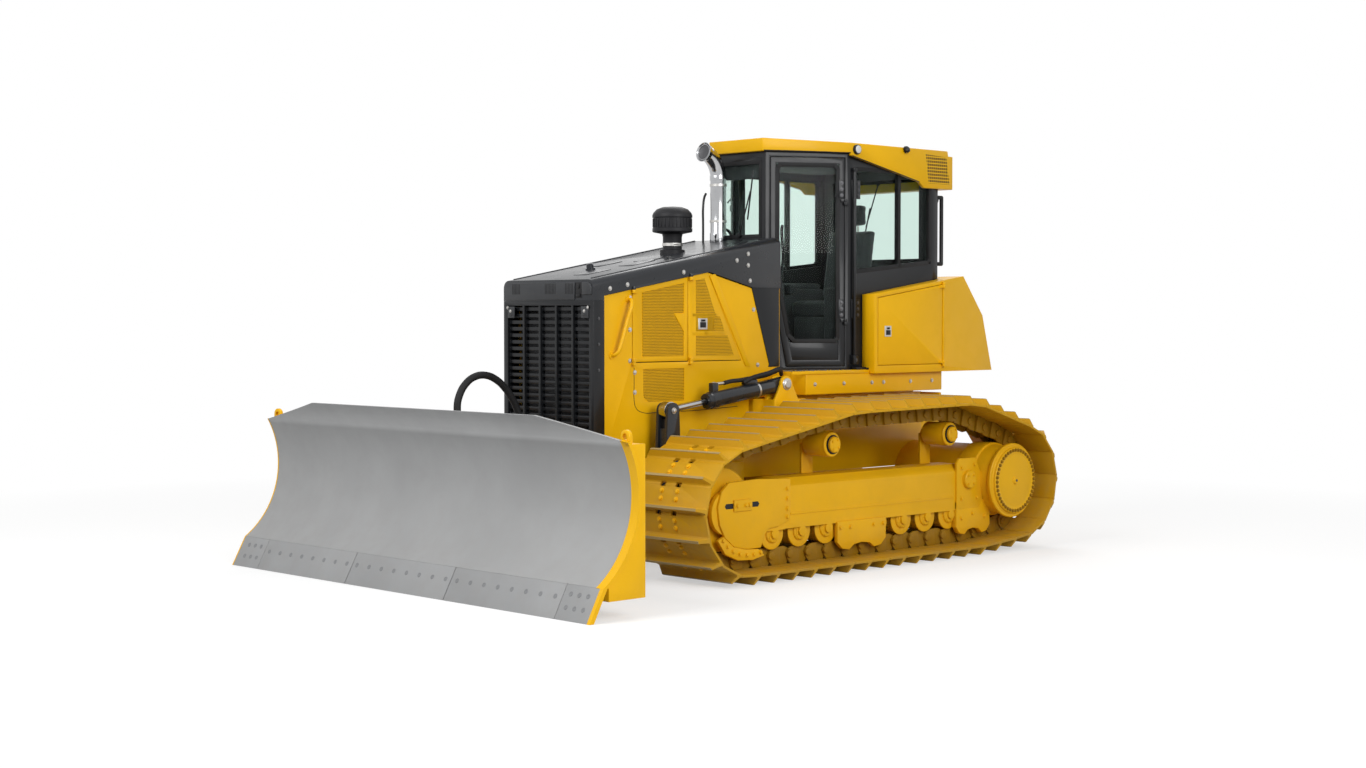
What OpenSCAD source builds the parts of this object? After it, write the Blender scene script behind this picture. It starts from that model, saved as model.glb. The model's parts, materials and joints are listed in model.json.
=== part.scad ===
// Crawler bulldozer with a power angle-tilt blade, wide track shoes and an enclosed cab.
// Frame: +X forward, +Y to the machine's left, +Z up, ground at z = 0.

/* [Machine] */
// Station of the cutting edge, ahead of the middle of the machine
blade_edge_x = 2800; // [2780:5:2850]
// Station of the drawbar's end, behind the middle of the machine
drawbar_end_back = 2800; // [2780:5:2850]

/* [Tracks] */
// Distance between the middles of the two tracks
track_gauge = 2238; // [2200:2:2300]
// Width of a track shoe
shoe_w = 762; // [700:2:780]
// Nominal pitch of the shoes along the loop
shoe_pitch = 192; // [188:1:196]
// Thickness of a shoe plate
plate_t = 16; // [12:1:20]
// Height of a grouser above its plate
grouser_h = 60; // [50:1:70]
// Thickness of a grouser at its tip
grouser_t = 18; // [14:1:26]
// Height of the link chain, from the rail to the shoe plate
link_h = 125; // [115:1:135]
// Width of the link chain
chain_w = 190; // [150:2:200]
// Station of the front idler
idler_x = 900; // [880:2:920]
// Radius of the idler's tread
idler_r = 290; // [280:1:296]
// Station of the sprocket, behind the middle of the machine
sprocket_back = 2170; // [2150:2:2190]
// Radius of the sprocket below the chain
sprocket_r = 290; // [280:1:296]
// Height of the sprocket above the idler
sprocket_lift = 40; // [30:1:50]
// Radius of a bottom roller's tread
roller_r = 105; // [95:1:110]
// Number of bottom rollers on a side
roller_count = 8; // [6:1:8]
// Radius of a carrier roller
carrier_r = 90; // [80:1:95]

/* [Engine bay] */
// Half width over the side panels
bay_hw = 480; // [470:1:500]
// Station of the radiator guard's face
guard_x = 1440; // [1430:1:1460]
// Height of the hood's top edge at the nose
nose_top_z = 2092; // [2080:1:2120]
// Rise of the hood from the nose to the cab, for each length of run
hood_slope_share = 0.178;
// Thickness of the doors and panels
panel_t = 30; // [20:1:36]

/* [Cab] */
// Half width of the cab's front
cab_front_hw = 290; // [270:1:310]
// Half width of the cab behind the doors
cab_hw = 620; // [600:1:640]
// Station of the cab's front, behind the middle of the machine
cab_front_back = 500; // [490:1:510]
// Station of the door pillar, behind the middle of the machine
cab_pillar_back = 1080; // [1060:1:1100]
// Station of the cab's rear wall, behind the middle of the machine
cab_rear_back = 2180; // [2160:1:2200]
// Height of the cab's floor line
cab_floor_z = 1420; // [1410:1:1430]
// Height of the cab, from its floor line to the roof's top
cab_h = 1780; // [1760:1:1800]
// How far the tank and its side boxes stand out beyond the cab's sides
tank_wing = 130; // [120:1:140]
// Thickness of the cab's walls and doors
cab_wall = 60; // [40:1:64]

/* [Blade] */
// Width of the blade
blade_w = 3990; // [3900:10:4060]
// Height of the blade in the middle
blade_h = 1216; // [1180:2:1250]
// Height of the blade at its chamfered ends
blade_end_h = 1070; // [1040:2:1100]
// Half length of the blade's level top edge
blade_top_hw = 1237; // [1200:1:1300]
// Height of the cutting edge
edge_h = 205; // [190:1:220]
// Setback of the cutting edge's top
edge_setback = 110; // [100:1:120]
// Setback of the moldboard's top edge
top_setback = 195; // [180:1:210]
// Depth of the moldboard's hollow behind its chord
hollow_d = 245; // [220:1:260]
// Thickness of the moldboard plate
mold_t = 22; // [16:1:26]
// Thickness of the cutting edge plate
edge_t = 28; // [22:1:32]

/* [Push frame] */
// Station of the push frame's pivots
pivot_x = 50; // [40:1:60]
// Height of the push frame's pivots
pivot_z = 500; // [490:1:510]
// Distance from the middle to the middle of a push arm
arm_y = 562; // [558:1:570]
// Width of a push arm
arm_w = 130; // [110:1:136]
// Height of a push arm
arm_h = 180; // [160:1:190]
// Radius of a push frame pivot pin
pivot_pin_r = 45; // [38:1:50]
// Station of the blade's ball joint
ball_x = 1980; // [1970:1:1990]
// Height of the blade's ball joint
ball_z = 470; // [460:1:480]

/* [Cylinders] */
// Distance from the middle to a lift cylinder
lift_y = 640; // [636:1:644]
// Station of a lift cylinder's rear pin, behind the middle of the machine
lift_base_back = 303; // [295:1:310]
// Height of a lift cylinder's rear pin
lift_base_z = 1328; // [1320:1:1336]
// Station of a lift rod's pin
lift_eye_x = 868; // [860:1:876]
// Height of a lift rod's pin
lift_eye_z = 1168; // [1160:1:1176]
// Radius of a lift cylinder's barrel
lift_barrel_r = 56; // [50:1:60]
// Radius of a lift cylinder's rod
lift_rod_r = 26; // [22:1:28]
// Radius of the pins of the cylinders
pin_r = 24; // [20:1:26]

/* [Hidden] */
$fn = 48;
// Overrun of a cut past the face that it leaves
overrun = 10;
// Gap between faces that seat on each other
seat_gap = 0.3;
// Radial clearance of a pin in its bore
pin_gap = 0.1;
// Seam around a door or between panels
seam = 6;
// Heights of the roof's top and of the cab's walls
roof_depth = 100;
roof_top_z = cab_floor_z + cab_h;
cab_wall_top_z = roof_top_z - roof_depth;
tank_hw = cab_hw + tank_wing;
// Upright door hinges: a pin on the fixed side, a knuckle on the door
hinge_pin_r = 8;
hinge_r = 15;
hinge_h = 24;
hinge_out = 17;
hinge_strap = 36;
hinge_bite = 10;
hinge_step = 1;
yellow = "#f2b21b";
charcoal = "#33363b";
steel = "#8d9196";

// Shapes that repeat

// Fixed half of a hinge: its axis is at the origin, the door lies towards +X and the face below -Y
module hinge_pin() {
    translate([0, 0, -hinge_h / 2]) cylinder(h = hinge_h / 2 + hinge_h, r = hinge_pin_r);
}

module hinge_bracket(bite) {
    translate([0, 0, -hinge_h]) cylinder(h = hinge_h - hinge_step, r = hinge_r);
    span([hinge_step - hinge_r, -hinge_out - bite, -hinge_h], [0, 0, -hinge_step]);
    hinge_pin();
}

module hinge_knuckle() {
    difference() {
        union() {
            cylinder(h = hinge_h, r = hinge_r);
            span([seam, -hinge_out - hinge_bite, 0], [hinge_strap, 0, hinge_h]);
        }
        translate([0, 0, -overrun]) cylinder(h = hinge_h + 2 * overrun, r = hinge_pin_r + pin_gap);
    }
}

// A side view outline in x and z, from y0 over a width along +Y
module side_plate(y0, w) {
    translate([0, y0 + w, 0]) rotate([90, 0, 0]) linear_extrude(w) children();
}

// A front view outline in y and z, from x0 over a depth along +X
module front_plate(x0, d) {
    translate([x0, 0, 0]) rotate([90, 0, 90]) linear_extrude(d) children();
}

// A box between two opposite corners
module span(low, high) {
    translate(low) cube(high - low);
}

// The same shape on the left and on the right
module both_sides() {
    children();
    mirror([0, 1, 0]) children();
}

// Either side: 1 is left, -1 is right
module on_side(side) {
    mirror([0, side < 0 ? 1 : 0, 0]) children();
}

// A plan outline from its left half, front to rear or rear to front
function mirrored(half) =
    concat(half, [for (i = [len(half) - 1 : -1 : 0]) [half[i][0], -half[i][1]]]);

// A round bar along +Y at a station and height
module cross_bar(x, y0, z, r, w) {
    translate([x, y0 + w, z]) rotate([90, 0, 0]) cylinder(h = w, r = r);
}

// A round bar between two points
module bar(a, b, r) {
    d = b - a;
    run = norm([d[0], d[1]]);
    translate(a) rotate([0, atan2(run, d[2]), atan2(d[1], d[0])]) cylinder(h = norm(d), r = r);
}

// Track loop
track_y = track_gauge / 2;
shoe_in_y = track_y - shoe_w / 2;
rail_z = grouser_h + plate_t + link_h;
// Running gap between the chain and the wheels
rail_gap = 0.8;
// Extra room above a carrier roller, where the chain bends over it
carrier_gap = 18;
// How far the flat shoes stand proud of a wheel that they bend around
wheel_sag = loop_r(idler_r) - idler_r - rail_gap - link_h;
idler_z = rail_z + idler_r + rail_gap + wheel_sag;
roller_z = rail_z + roller_r + rail_gap;
sprocket_z = idler_z + sprocket_lift;
sprocket_x = -sprocket_back;
// Stations and heights of the carrier rollers
carrier_front_x = -211;
carrier_front_z = 905;
carrier_rear_x = -1577;
carrier_rear_z = 925;
// Stations of the first and last bottom rollers
first_roller_x = 420;
last_roller_x = -1560;
// Distance from the last roller to the bend towards the sprocket
heel_run = 130;
function loop_r(r) = sqrt(pow(r + rail_gap + link_h, 2) + pow(shoe_pitch / 2, 2));
loop_circles = [
    [last_roller_x - heel_run, roller_z, roller_r + rail_gap + link_h],
    [idler_x, idler_z, loop_r(idler_r)],
    [carrier_front_x, carrier_front_z, carrier_r + link_h + carrier_gap],
    [carrier_rear_x, carrier_rear_z, carrier_r + link_h + carrier_gap],
    [sprocket_x, sprocket_z, loop_r(sprocket_r)]];
loop_n = len(loop_circles);
function center(i) = [loop_circles[i % loop_n][0], loop_circles[i % loop_n][1]];
function radius(i) = loop_circles[i % loop_n][2];
function heading(a) = [cos(a), sin(a)];
// Direction of the outward normal on the straight run after circle i
function run_normal(i) =
    let (d = center(i + 1) - center(i))
    atan2(d[1], d[0]) - acos((radius(i) - radius(i + 1)) / norm(d));
function turn(i) = (run_normal(i) - run_normal(i + loop_n - 1) + 720) % 360;
function run_len(i) =
    sqrt(pow(norm(center(i + 1) - center(i)), 2) - pow(radius(i) - radius(i + 1), 2));
// Arcs and straight runs in turn, as lengths and as distances along the loop
loop_pieces = [for (i = [0 : 2 * loop_n - 1])
    i % 2 == 0 ? radius(i / 2) * turn(i / 2) * PI / 180 : run_len((i - 1) / 2)];
function sum_to(list, k) = k == 0 ? 0 : list[k - 1] + sum_to(list, k - 1);
loop_marks = [for (k = [0 : 2 * loop_n]) sum_to(loop_pieces, k)];
loop_len = loop_marks[2 * loop_n];
function loop_point(s) =
    let (d = s % loop_len,
        k = [for (j = [0 : 2 * loop_n - 1]) if (d >= loop_marks[j] && d < loop_marks[j + 1]) j][0],
        i = floor(k / 2),
        past = d - loop_marks[k])
    k % 2 == 0
        ? center(i) + radius(i) * heading(run_normal(i + loop_n - 1) + past / radius(i) * 180 / PI)
        : center(i) + radius(i) * heading(run_normal(i)) + past * heading(run_normal(i) + 90);
shoe_count = round(loop_len / shoe_pitch);
pitch = loop_len / shoe_count;
// A point on shoe k: a share of the way along it, and a height outside the plate's inner face
function shoe_point(k, along, out) =
    let (a = loop_point(k * pitch), b = loop_point((k + 1) * pitch), t = (b - a) / norm(b - a))
    a + (b - a) * along + [t[1], -t[0]] * out;
// Foot and tip of the grouser, as shares of the pitch
grouser_foot_shares = [0.06, 0.26];
grouser_tip_shares = [0.13, 0.13 + grouser_t / shoe_pitch];
link_end_share = 0.18;
shoe_outer = [for (k = [0 : shoe_count - 1]) each [
    shoe_point(k, grouser_foot_shares[0], plate_t),
    shoe_point(k, grouser_tip_shares[0], plate_t + grouser_h),
    shoe_point(k, grouser_tip_shares[1], plate_t + grouser_h),
    shoe_point(k, grouser_foot_shares[1], plate_t),
    shoe_point(k, 1, plate_t)]];
shoe_inner = [for (k = [0 : shoe_count - 1]) shoe_point(k, 0, 0)];
chain_outer = [for (k = [0 : shoe_count - 1]) shoe_point(k, 0, plate_t / 2)];
chain_inner = [for (k = [0 : shoe_count - 1]) each [
    shoe_point(k, link_end_share, -link_h), shoe_point(k, 1 - link_end_share, -link_h)]];

module ring(outer, inner) {
    polygon(concat(outer, inner), [
        [for (i = [0 : len(outer) - 1]) i],
        [for (i = [0 : len(inner) - 1]) len(outer) + i]]);
}

module track(side) {
    color(yellow) on_side(side) {
        side_plate(shoe_in_y, shoe_w) ring(shoe_outer, shoe_inner);
        side_plate(track_y - chain_w / 2, chain_w) ring(chain_outer, chain_inner);
    }
}

// Track frames
beam_hw = 150;
beam_front_x = 330;
beam_rear_x = -1690;
beam_top_z = 690;
beam_floor_z = 440;
beam_skirt_z = 335;
skirt_t = 16;
beam_bevel = 55;
yoke_t = 34;
yoke_top_z = 640;
yoke_low_z = 330;
yoke_axle_r = 60;
rear_guard_x = -1880;
rear_guard_top_z = 660;
rear_guard_low_z = 300;
carrier_post_w = 120;
carrier_axle_r = 38;
carrier_axle_in = 60;
carrier_w = 200;

module track_frame(side) {
    color(yellow) on_side(side) translate([0, track_y, 0]) {
        difference() {
            front_plate(beam_rear_x, beam_front_x - beam_rear_x)
                polygon([[-beam_hw, beam_skirt_z], [beam_hw, beam_skirt_z], [beam_hw,
                    beam_top_z - beam_bevel],
                    [beam_hw - beam_bevel, beam_top_z], [beam_bevel - beam_hw, beam_top_z],
                    [-beam_hw, beam_top_z - beam_bevel]]);
            span([beam_rear_x - overrun, skirt_t - beam_hw, beam_skirt_z - overrun],
                [beam_front_x + overrun, beam_hw - skirt_t, beam_floor_z]);
        }
        for (y = [-beam_hw, beam_hw - yoke_t])
            side_plate(y, yoke_t) {
                polygon([[beam_front_x - overrun, yoke_low_z], [idler_x, yoke_low_z],
                    [idler_x, yoke_top_z], [beam_front_x - overrun, yoke_top_z]]);
                translate([idler_x, (yoke_low_z + yoke_top_z) / 2]) circle(d = yoke_top_z - yoke_low_z);
                polygon([[beam_rear_x + overrun, beam_skirt_z], [rear_guard_x, rear_guard_low_z],
                    [rear_guard_x, rear_guard_top_z - beam_bevel], [beam_rear_x + overrun,
                        rear_guard_top_z]]);
            }
        cross_bar(idler_x, -beam_hw, idler_z, yoke_axle_r, 2 * beam_hw);
        for (c = [[carrier_front_x, carrier_front_z], [carrier_rear_x, carrier_rear_z]]) {
            span([c[0] - carrier_post_w / 2, -beam_hw, beam_top_z - beam_bevel - overrun],
                [c[0] + carrier_post_w / 2, -carrier_w / 2 - carrier_axle_in / 2, c[1]]);
            cross_bar(c[0], -beam_hw, c[1], carrier_axle_r, beam_hw + carrier_axle_in);
        }
        for (i = [0 : roller_count - 1])
            cross_bar(roller_x(i), -beam_hw, roller_z, roller_axle_r, 2 * beam_hw);
    }
}

// Rollers, idlers and final drives
roller_w = 228;
roller_flange = 12;
roller_flange_w = 13;
roller_axle_r = 36;
idler_w = 170;
drum_r = 272;
drum_out_y = 1395;
cover_r = 258;
cover_t = 22;
sprocket_w = 170;

function roller_x(i) = first_roller_x + (last_roller_x - first_roller_x) * i / (roller_count - 1);

// A wheel of revolution along Y with a bore
module wheel(x, z, w, r, bore) {
    translate([x, 0, z]) rotate([90, 0, 0]) translate([0, 0, -w / 2])
        difference() {
            cylinder(h = w, r = r);
            translate([0, 0, -overrun]) cylinder(h = w + 2 * overrun, r = bore + pin_gap);
        }
}

module bottom_rollers() {
    color(yellow) both_sides() translate([0, track_y, 0])
        for (i = [0 : roller_count - 1]) {
            wheel(roller_x(i), roller_z, roller_w, roller_r, roller_axle_r);
            for (s = [-1, 1])
                translate([0, s * (roller_w - roller_flange_w) / 2, 0])
                    wheel(roller_x(i), roller_z, roller_flange_w, roller_r + roller_flange, roller_axle_r);
        }
}

module carrier_rollers() {
    color(yellow) both_sides() translate([0, track_y, 0])
        for (c = [[carrier_front_x, carrier_front_z], [carrier_rear_x, carrier_rear_z]])
            wheel(c[0], c[1], carrier_w, carrier_r, carrier_axle_r);
}

module idlers() {
    color(yellow) both_sides() translate([0, track_y, 0])
        wheel(idler_x, idler_z, idler_w, idler_r, yoke_axle_r);
}

module final_drives() {
    color(yellow) both_sides() {
        cross_bar(sprocket_x, frame_hw + seat_gap, sprocket_z, drum_r, drum_out_y - frame_hw - seat_gap);
        cross_bar(sprocket_x, drum_out_y, sprocket_z, cover_r, cover_t);
        cross_bar(sprocket_x, track_y - sprocket_w / 2, sprocket_z, sprocket_r, sprocket_w);
    }
}

// Main frame
frame_hw = 400;
frame_front_x = 1300;
frame_rear_x = -2250;
frame_low_z = 620;
frame_top_z = 1215;
// Pivot brackets of the push frame
pivot_lug_t = 70;
pivot_lug_hw = 130;
pivot_lug_low_z = 400;
pivot_pin_out_y = 640;
// Brackets of the lift cylinders
lift_ear_t = 24;
lift_ear_gap = 70;
lift_ear_r = 62;
lift_base_x = -lift_base_back;
lift_arm_low_z = 1020;
lift_arm_back = 210;
lift_arm_front = 130;
// Front cross member under the radiator
nose_beam_x = 1435;
nose_beam_hw = 440;
nose_beam_low_z = 700;
guard_low_z = 830;
// Bracket on the cross member that the hose bundle leaves from
bulkhead_y = -200;
bulkhead_hw = 45;
bulkhead_d = 105;
bulkhead_low_z = 750;
bulkhead_top_z = 800;

module main_frame() {
    color(charcoal) {
        span([frame_rear_x, -frame_hw, frame_low_z], [frame_front_x, frame_hw, frame_top_z]);
        span([frame_front_x - overrun, -nose_beam_hw, nose_beam_low_z], [nose_beam_x, nose_beam_hw,
            guard_low_z]);
        span([nose_beam_x - overrun, bulkhead_y - bulkhead_hw, bulkhead_low_z],
            [nose_beam_x + bulkhead_d, bulkhead_y + bulkhead_hw, bulkhead_top_z]);
        both_sides() {
            span([pivot_x - pivot_lug_hw, frame_hw - overrun, pivot_lug_low_z],
                [pivot_x + pivot_lug_hw, frame_hw + pivot_lug_t, frame_low_z + pivot_lug_hw]);
            cross_bar(pivot_x, frame_hw, pivot_z, pivot_pin_r, pivot_pin_out_y - frame_hw);
            span([lift_base_x - lift_arm_back, frame_hw - overrun, lift_arm_low_z],
                [lift_base_x + lift_arm_front, lift_y + lift_ear_gap / 2 + lift_ear_t, frame_top_z]);
            for (y = [lift_y - lift_ear_gap / 2 - lift_ear_t, lift_y + lift_ear_gap / 2])
                side_plate(y, lift_ear_t) {
                    translate([lift_base_x, lift_base_z]) circle(r = lift_ear_r);
                    polygon([[lift_base_x - lift_ear_r, lift_base_z], [lift_base_x + lift_ear_r, lift_base_z],
                        [lift_base_x + lift_arm_front, frame_top_z - overrun],
                        [lift_base_x - lift_arm_front, frame_top_z - overrun]]);
                }
            cross_bar(lift_base_x, lift_y - lift_ear_gap / 2 - lift_ear_t, lift_base_z, pin_r,
                lift_ear_gap + 2 * lift_ear_t);
        }
    }
}

// Equalizer bar across the track frames, under the main frame
equalizer_x = -420;
equalizer_hx = 75;
equalizer_h = 130;

module equalizer_bar() {
    color(charcoal)
        span([equalizer_x - equalizer_hx, beam_hw - track_y, frame_low_z - equalizer_h],
            [equalizer_x + equalizer_hx, track_y - beam_hw, frame_low_z]);
}

// Engine and radiator
engine_front_x = 1120;
engine_rear_x = -300;
engine_hw = 330;
engine_top_z = 1940;
radiator_hw = 420;

module engine_block() {
    color(steel) span([engine_rear_x, -engine_hw, frame_top_z], [engine_front_x, engine_hw, engine_top_z]);
}

module radiator() {
    color(charcoal) span([frame_front_x + seat_gap, -radiator_hw, guard_low_z + seat_gap],
        [guard_rear_x - seat_gap, radiator_hw, guard_top_z - seam]);
}

// Radiator guard: a frame with level slats and upright bars
guard_top_z = 1945;
guard_hw = 492;
guard_rear_x = 1337;
guard_side_w = 46;
guard_rail_h = 34;
slat_count = 22;
slat_h = 26;
slat_d = 30;
slat_in = 22;
upright_count = 4;
upright_w = 20;
upright_d = 44;

module radiator_guard() {
    guard_in_hw = guard_hw - guard_side_w;
    slat_step = (guard_top_z - guard_low_z - 2 * guard_rail_h) / slat_count;
    color(charcoal) {
        difference() {
            span([guard_rear_x, -guard_hw, guard_low_z], [guard_x, guard_hw, guard_top_z]);
            span([guard_rear_x - overrun, -guard_in_hw, guard_low_z + guard_rail_h],
                [guard_x + overrun, guard_in_hw, guard_top_z - guard_rail_h]);
        }
        for (i = [0 : slat_count - 1])
            translate([guard_x - slat_in - slat_d, -guard_hw + guard_side_w / 2,
                guard_low_z + guard_rail_h + (slat_step - slat_h) / 2 + i * slat_step])
                cube([slat_d, 2 * guard_hw - guard_side_w, slat_h]);
        for (i = [1 : upright_count])
            translate([guard_x - upright_d, -guard_in_hw + 2 * guard_in_hw * i / (upright_count + 1)
                - upright_w / 2,
                guard_low_z + guard_rail_h / 2])
                cube([upright_d, upright_w, guard_top_z - guard_low_z - guard_rail_h]);
    }
}

// Hood: sloped lid with rounded long edges and a wedge down to the cab
hood_angle = atan(hood_slope_share);
hood_rear_x = -455;
hood_edge_r = 55;
hood_lip_x = 1338;
hood_lip_z = 1980;
wedge_top_x = 306;
wedge_low_x = -150;
wedge_low_z = 2050;
hood_low_share = 0.174;
function hood_top_z(x) = nose_top_z + (guard_x - x) * hood_slope_share;
function hood_low_z(x) = hood_lip_z + (hood_lip_x - x) * hood_low_share;

module hood() {
    color(charcoal) both_sides() for (i = [0, 1]) at_high_hinge(i) hinge_bracket(-hinge_pin_r / 2);
    color(charcoal) intersection() {
        side_plate(-guard_hw, 2 * guard_hw)
            polygon([[guard_x, guard_top_z + seat_gap], [guard_x, hood_top_z(guard_x)],
                [hood_rear_x, hood_top_z(hood_rear_x)], [hood_rear_x, wedge_low_z], [wedge_low_x,
                    wedge_low_z],
                [wedge_top_x, hood_low_z(wedge_top_x)], [hood_lip_x, hood_lip_z],
                [hood_lip_x, guard_top_z + seat_gap]]);
        translate([guard_x, 0, nose_top_z]) rotate([0, hood_angle, 0])
            front_plate(2 * hood_rear_x - 2 * guard_x, 4 * guard_x - 4 * hood_rear_x)
                union() {
                    translate([-guard_hw, -2 * guard_x]) square([2 * guard_hw, 2 * guard_x - hood_edge_r]);
                    translate([hood_edge_r - guard_hw, -2 * hood_edge_r])
                        square([2 * guard_hw - 2 * hood_edge_r, 2 * hood_edge_r]);
                    for (s = [-1, 1])
                        translate([s * (guard_hw - hood_edge_r), -hood_edge_r]) circle(r = hood_edge_r);
                }
    }
}

// Side panels and engine doors
panel_front_x = 1335;
door_front_x = 1062;
door_mid_x = 515;
door_low_z = 1508;
strip_top_x = wedge_top_x + seam;
strip_low_x = -77;
strip_low_z = 1430;
panel_rear_x = -455;
panel_low_z = 830;
panel_rear_low_z = 1225;
panel_rear_cut_x = -120;
mesh_in = 8;
mesh_edge = 85;
mesh_low = 38;
panel_in_y = bay_hw - panel_t;
lower_mesh_front_x = 957;
lower_mesh_rear_x = 550;
lower_mesh_top_z = 1459;
lower_mesh_low_z = 1223;

// Rear edge of the rear engine door at a height
function strip_x(z) = strip_low_x + (strip_top_x - strip_low_x) * (z - strip_low_z)
    / (hood_low_z(strip_top_x) - strip_low_z);
function under_hood(x) = [x, hood_low_z(x) - seam / 2];

// Hinge axes of the engine doors, front and rear
engine_hinge_x = [door_front_x, door_mid_x - seam / 2 - hinge_r];

// Places of a side door's lower and upper hinge; the upper one hangs under the hood
module at_low_hinge(i) {
    translate([engine_hinge_x[i], bay_hw + hinge_out, door_low_z + seam / 2]) mirror([1, 0, 0]) children();
}

module at_high_hinge(i) {
    translate([engine_hinge_x[i], bay_hw + hinge_out, hood_low_z(engine_hinge_x[i]) - seam])
        mirror([1, 0, 0]) mirror([0, 0, 1]) children();
}

module engine_knuckles(i) {
    at_low_hinge(i) hinge_knuckle();
    at_high_hinge(i) hinge_knuckle();
}

module side_panels() {
    color(yellow) both_sides() for (i = [0, 1]) at_low_hinge(i) hinge_bracket(hinge_bite);
    color(yellow) both_sides() difference() {
        side_plate(panel_in_y, panel_t) {
            polygon([[panel_front_x, panel_low_z], [panel_front_x, hood_low_z(panel_front_x) - seam / 2],
                under_hood(door_front_x + seam / 2), [door_front_x + seam / 2, door_low_z - seam / 2],
                [strip_x(door_low_z) - seam, door_low_z - seam / 2],
                [strip_x(hood_low_z(strip_top_x)) - seam, hood_low_z(strip_top_x) - seam],
                [wedge_low_x, wedge_low_z - seam], [panel_rear_x, wedge_low_z - seam],
                [panel_rear_x, panel_rear_low_z], [panel_rear_cut_x, panel_rear_low_z],
                [panel_rear_cut_x, panel_low_z]]);
        }
        span([lower_mesh_rear_x, bay_hw - mesh_in, lower_mesh_low_z],
            [lower_mesh_front_x, bay_hw + overrun, lower_mesh_top_z]);
    }
}

module engine_door_front(side) {
    color(yellow) on_side(side) engine_knuckles(0);
    color(yellow) on_side(side) difference() {
        side_plate(panel_in_y, panel_t)
            polygon([[door_front_x - seam / 2, door_low_z + seam / 2], under_hood(door_front_x - seam / 2),
                under_hood(door_mid_x + seam / 2), [door_mid_x + seam / 2, door_low_z + seam / 2]]);
        side_plate(bay_hw - mesh_in, mesh_in + overrun)
            polygon([[door_front_x - mesh_edge, door_low_z + mesh_low],
                under_hood(door_front_x - mesh_edge) - [0, mesh_low],
                under_hood(door_mid_x + mesh_low) - [0, mesh_low], [door_mid_x + mesh_low,
                    door_low_z + mesh_low]]);
    }
}

module engine_door_rear(side) {
    color(yellow) on_side(side) engine_knuckles(1);
    color(yellow) on_side(side) side_plate(panel_in_y, panel_t)
        polygon([[door_mid_x - seam / 2, door_low_z + seam / 2], under_hood(door_mid_x - seam / 2),
            [strip_top_x, hood_low_z(strip_top_x) - seam / 2], [strip_x(door_low_z), door_low_z + seam / 2]]);
}

// Intake precleaner and exhaust stack on the hood
cleaner_x = 212;
cleaner_bowl_r = 150;
cleaner_neck_r = 88;
cleaner_low_z = 2460;
cleaner_lid_z = 2590;
cleaner_top_z = 2660;
cleaner_crown_r = 60;
stack_x = -396;
stack_y = -120;
stack_r = 62;
stack_wall = 4;
stack_bend_z = 2905;
stack_bend_r = 200;
stack_bend_angle = 78;
stack_collar_h = 60;
stack_band_h = 36;

module precleaner() {
    color(charcoal) translate([cleaner_x, 0, 0]) difference() {
        rotate_extrude() polygon([[0, hood_top_z(cleaner_x) - cleaner_neck_r], [cleaner_neck_r,
            hood_top_z(cleaner_x) - cleaner_neck_r],
            [cleaner_neck_r, cleaner_low_z], [cleaner_bowl_r, cleaner_low_z], [cleaner_bowl_r, cleaner_lid_z],
            [cleaner_crown_r, cleaner_top_z], [0, cleaner_top_z]]);
        translate([-cleaner_x, 0, 0]) hood_under(2 * cleaner_bowl_r);
    }
}

// Everything at or below the hood's top plane, for seating what stands on it
module hood_under(w) {
    side_plate(-w, 2 * w)
        polygon([[guard_x, 0], [guard_x, hood_top_z(guard_x) + seat_gap],
            [cab_front_x, hood_top_z(cab_front_x) + seat_gap], [cab_front_x, 0]]);
}

module exhaust_stack() {
    collar_top_z = hood_top_z(stack_x) + stack_collar_h;
    color(steel) {
        difference() {
            translate([stack_x, stack_y, wedge_low_z]) cylinder(h = collar_top_z - wedge_low_z,
                r = stack_r + stack_wall);
            hood_under(2 * bay_hw);
        }
        translate([stack_x, stack_y, 0]) {
            translate([0, 0, collar_top_z - stack_wall]) difference() {
                cylinder(h = stack_bend_z - collar_top_z + stack_wall - seat_gap, r = stack_r);
                translate([0, 0, 2 * stack_wall]) cylinder(h = stack_bend_z - collar_top_z,
                    r = stack_r - stack_wall);
            }
            translate([0, 0, stack_bend_z - stack_band_h / 2]) difference() {
                cylinder(h = stack_band_h, r = stack_r + stack_wall);
                translate([0, 0, -overrun]) cylinder(h = stack_band_h + 2 * overrun,
                    r = stack_r - stack_wall / 2);
            }
            translate([stack_bend_r, 0, stack_bend_z]) rotate([90, 0, 0]) rotate(180 - stack_bend_angle)
                difference() {
                    stack_bend(stack_r);
                    stack_bend(stack_r - stack_wall);
                }
        }
    }
}

module stack_bend(r) {
    rotate_extrude(angle = stack_bend_angle) translate([stack_bend_r, 0]) circle(r = r);
}

// Platform under the cab
platform_in = 56;
platform_hw = tank_hw - platform_in;
platform_front_x = -350;
platform_rear_x = -2150;
platform_low_z = 1240;

module platform() {
    color(yellow) difference() {
        span([platform_rear_x, -platform_hw, frame_top_z], [platform_front_x, platform_hw,
            cab_floor_z - seat_gap]);
        both_sides() span([platform_rear_x - overrun, frame_hw, frame_top_z - overrun],
            [lift_base_x - lift_arm_back - seam, platform_hw + overrun, platform_low_z]);
        both_sides() span([lift_base_x - lift_arm_back - seam, panel_in_y - seam, frame_top_z - overrun],
            [platform_front_x + overrun, platform_hw + overrun, cab_floor_z]);
    }
}

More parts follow.
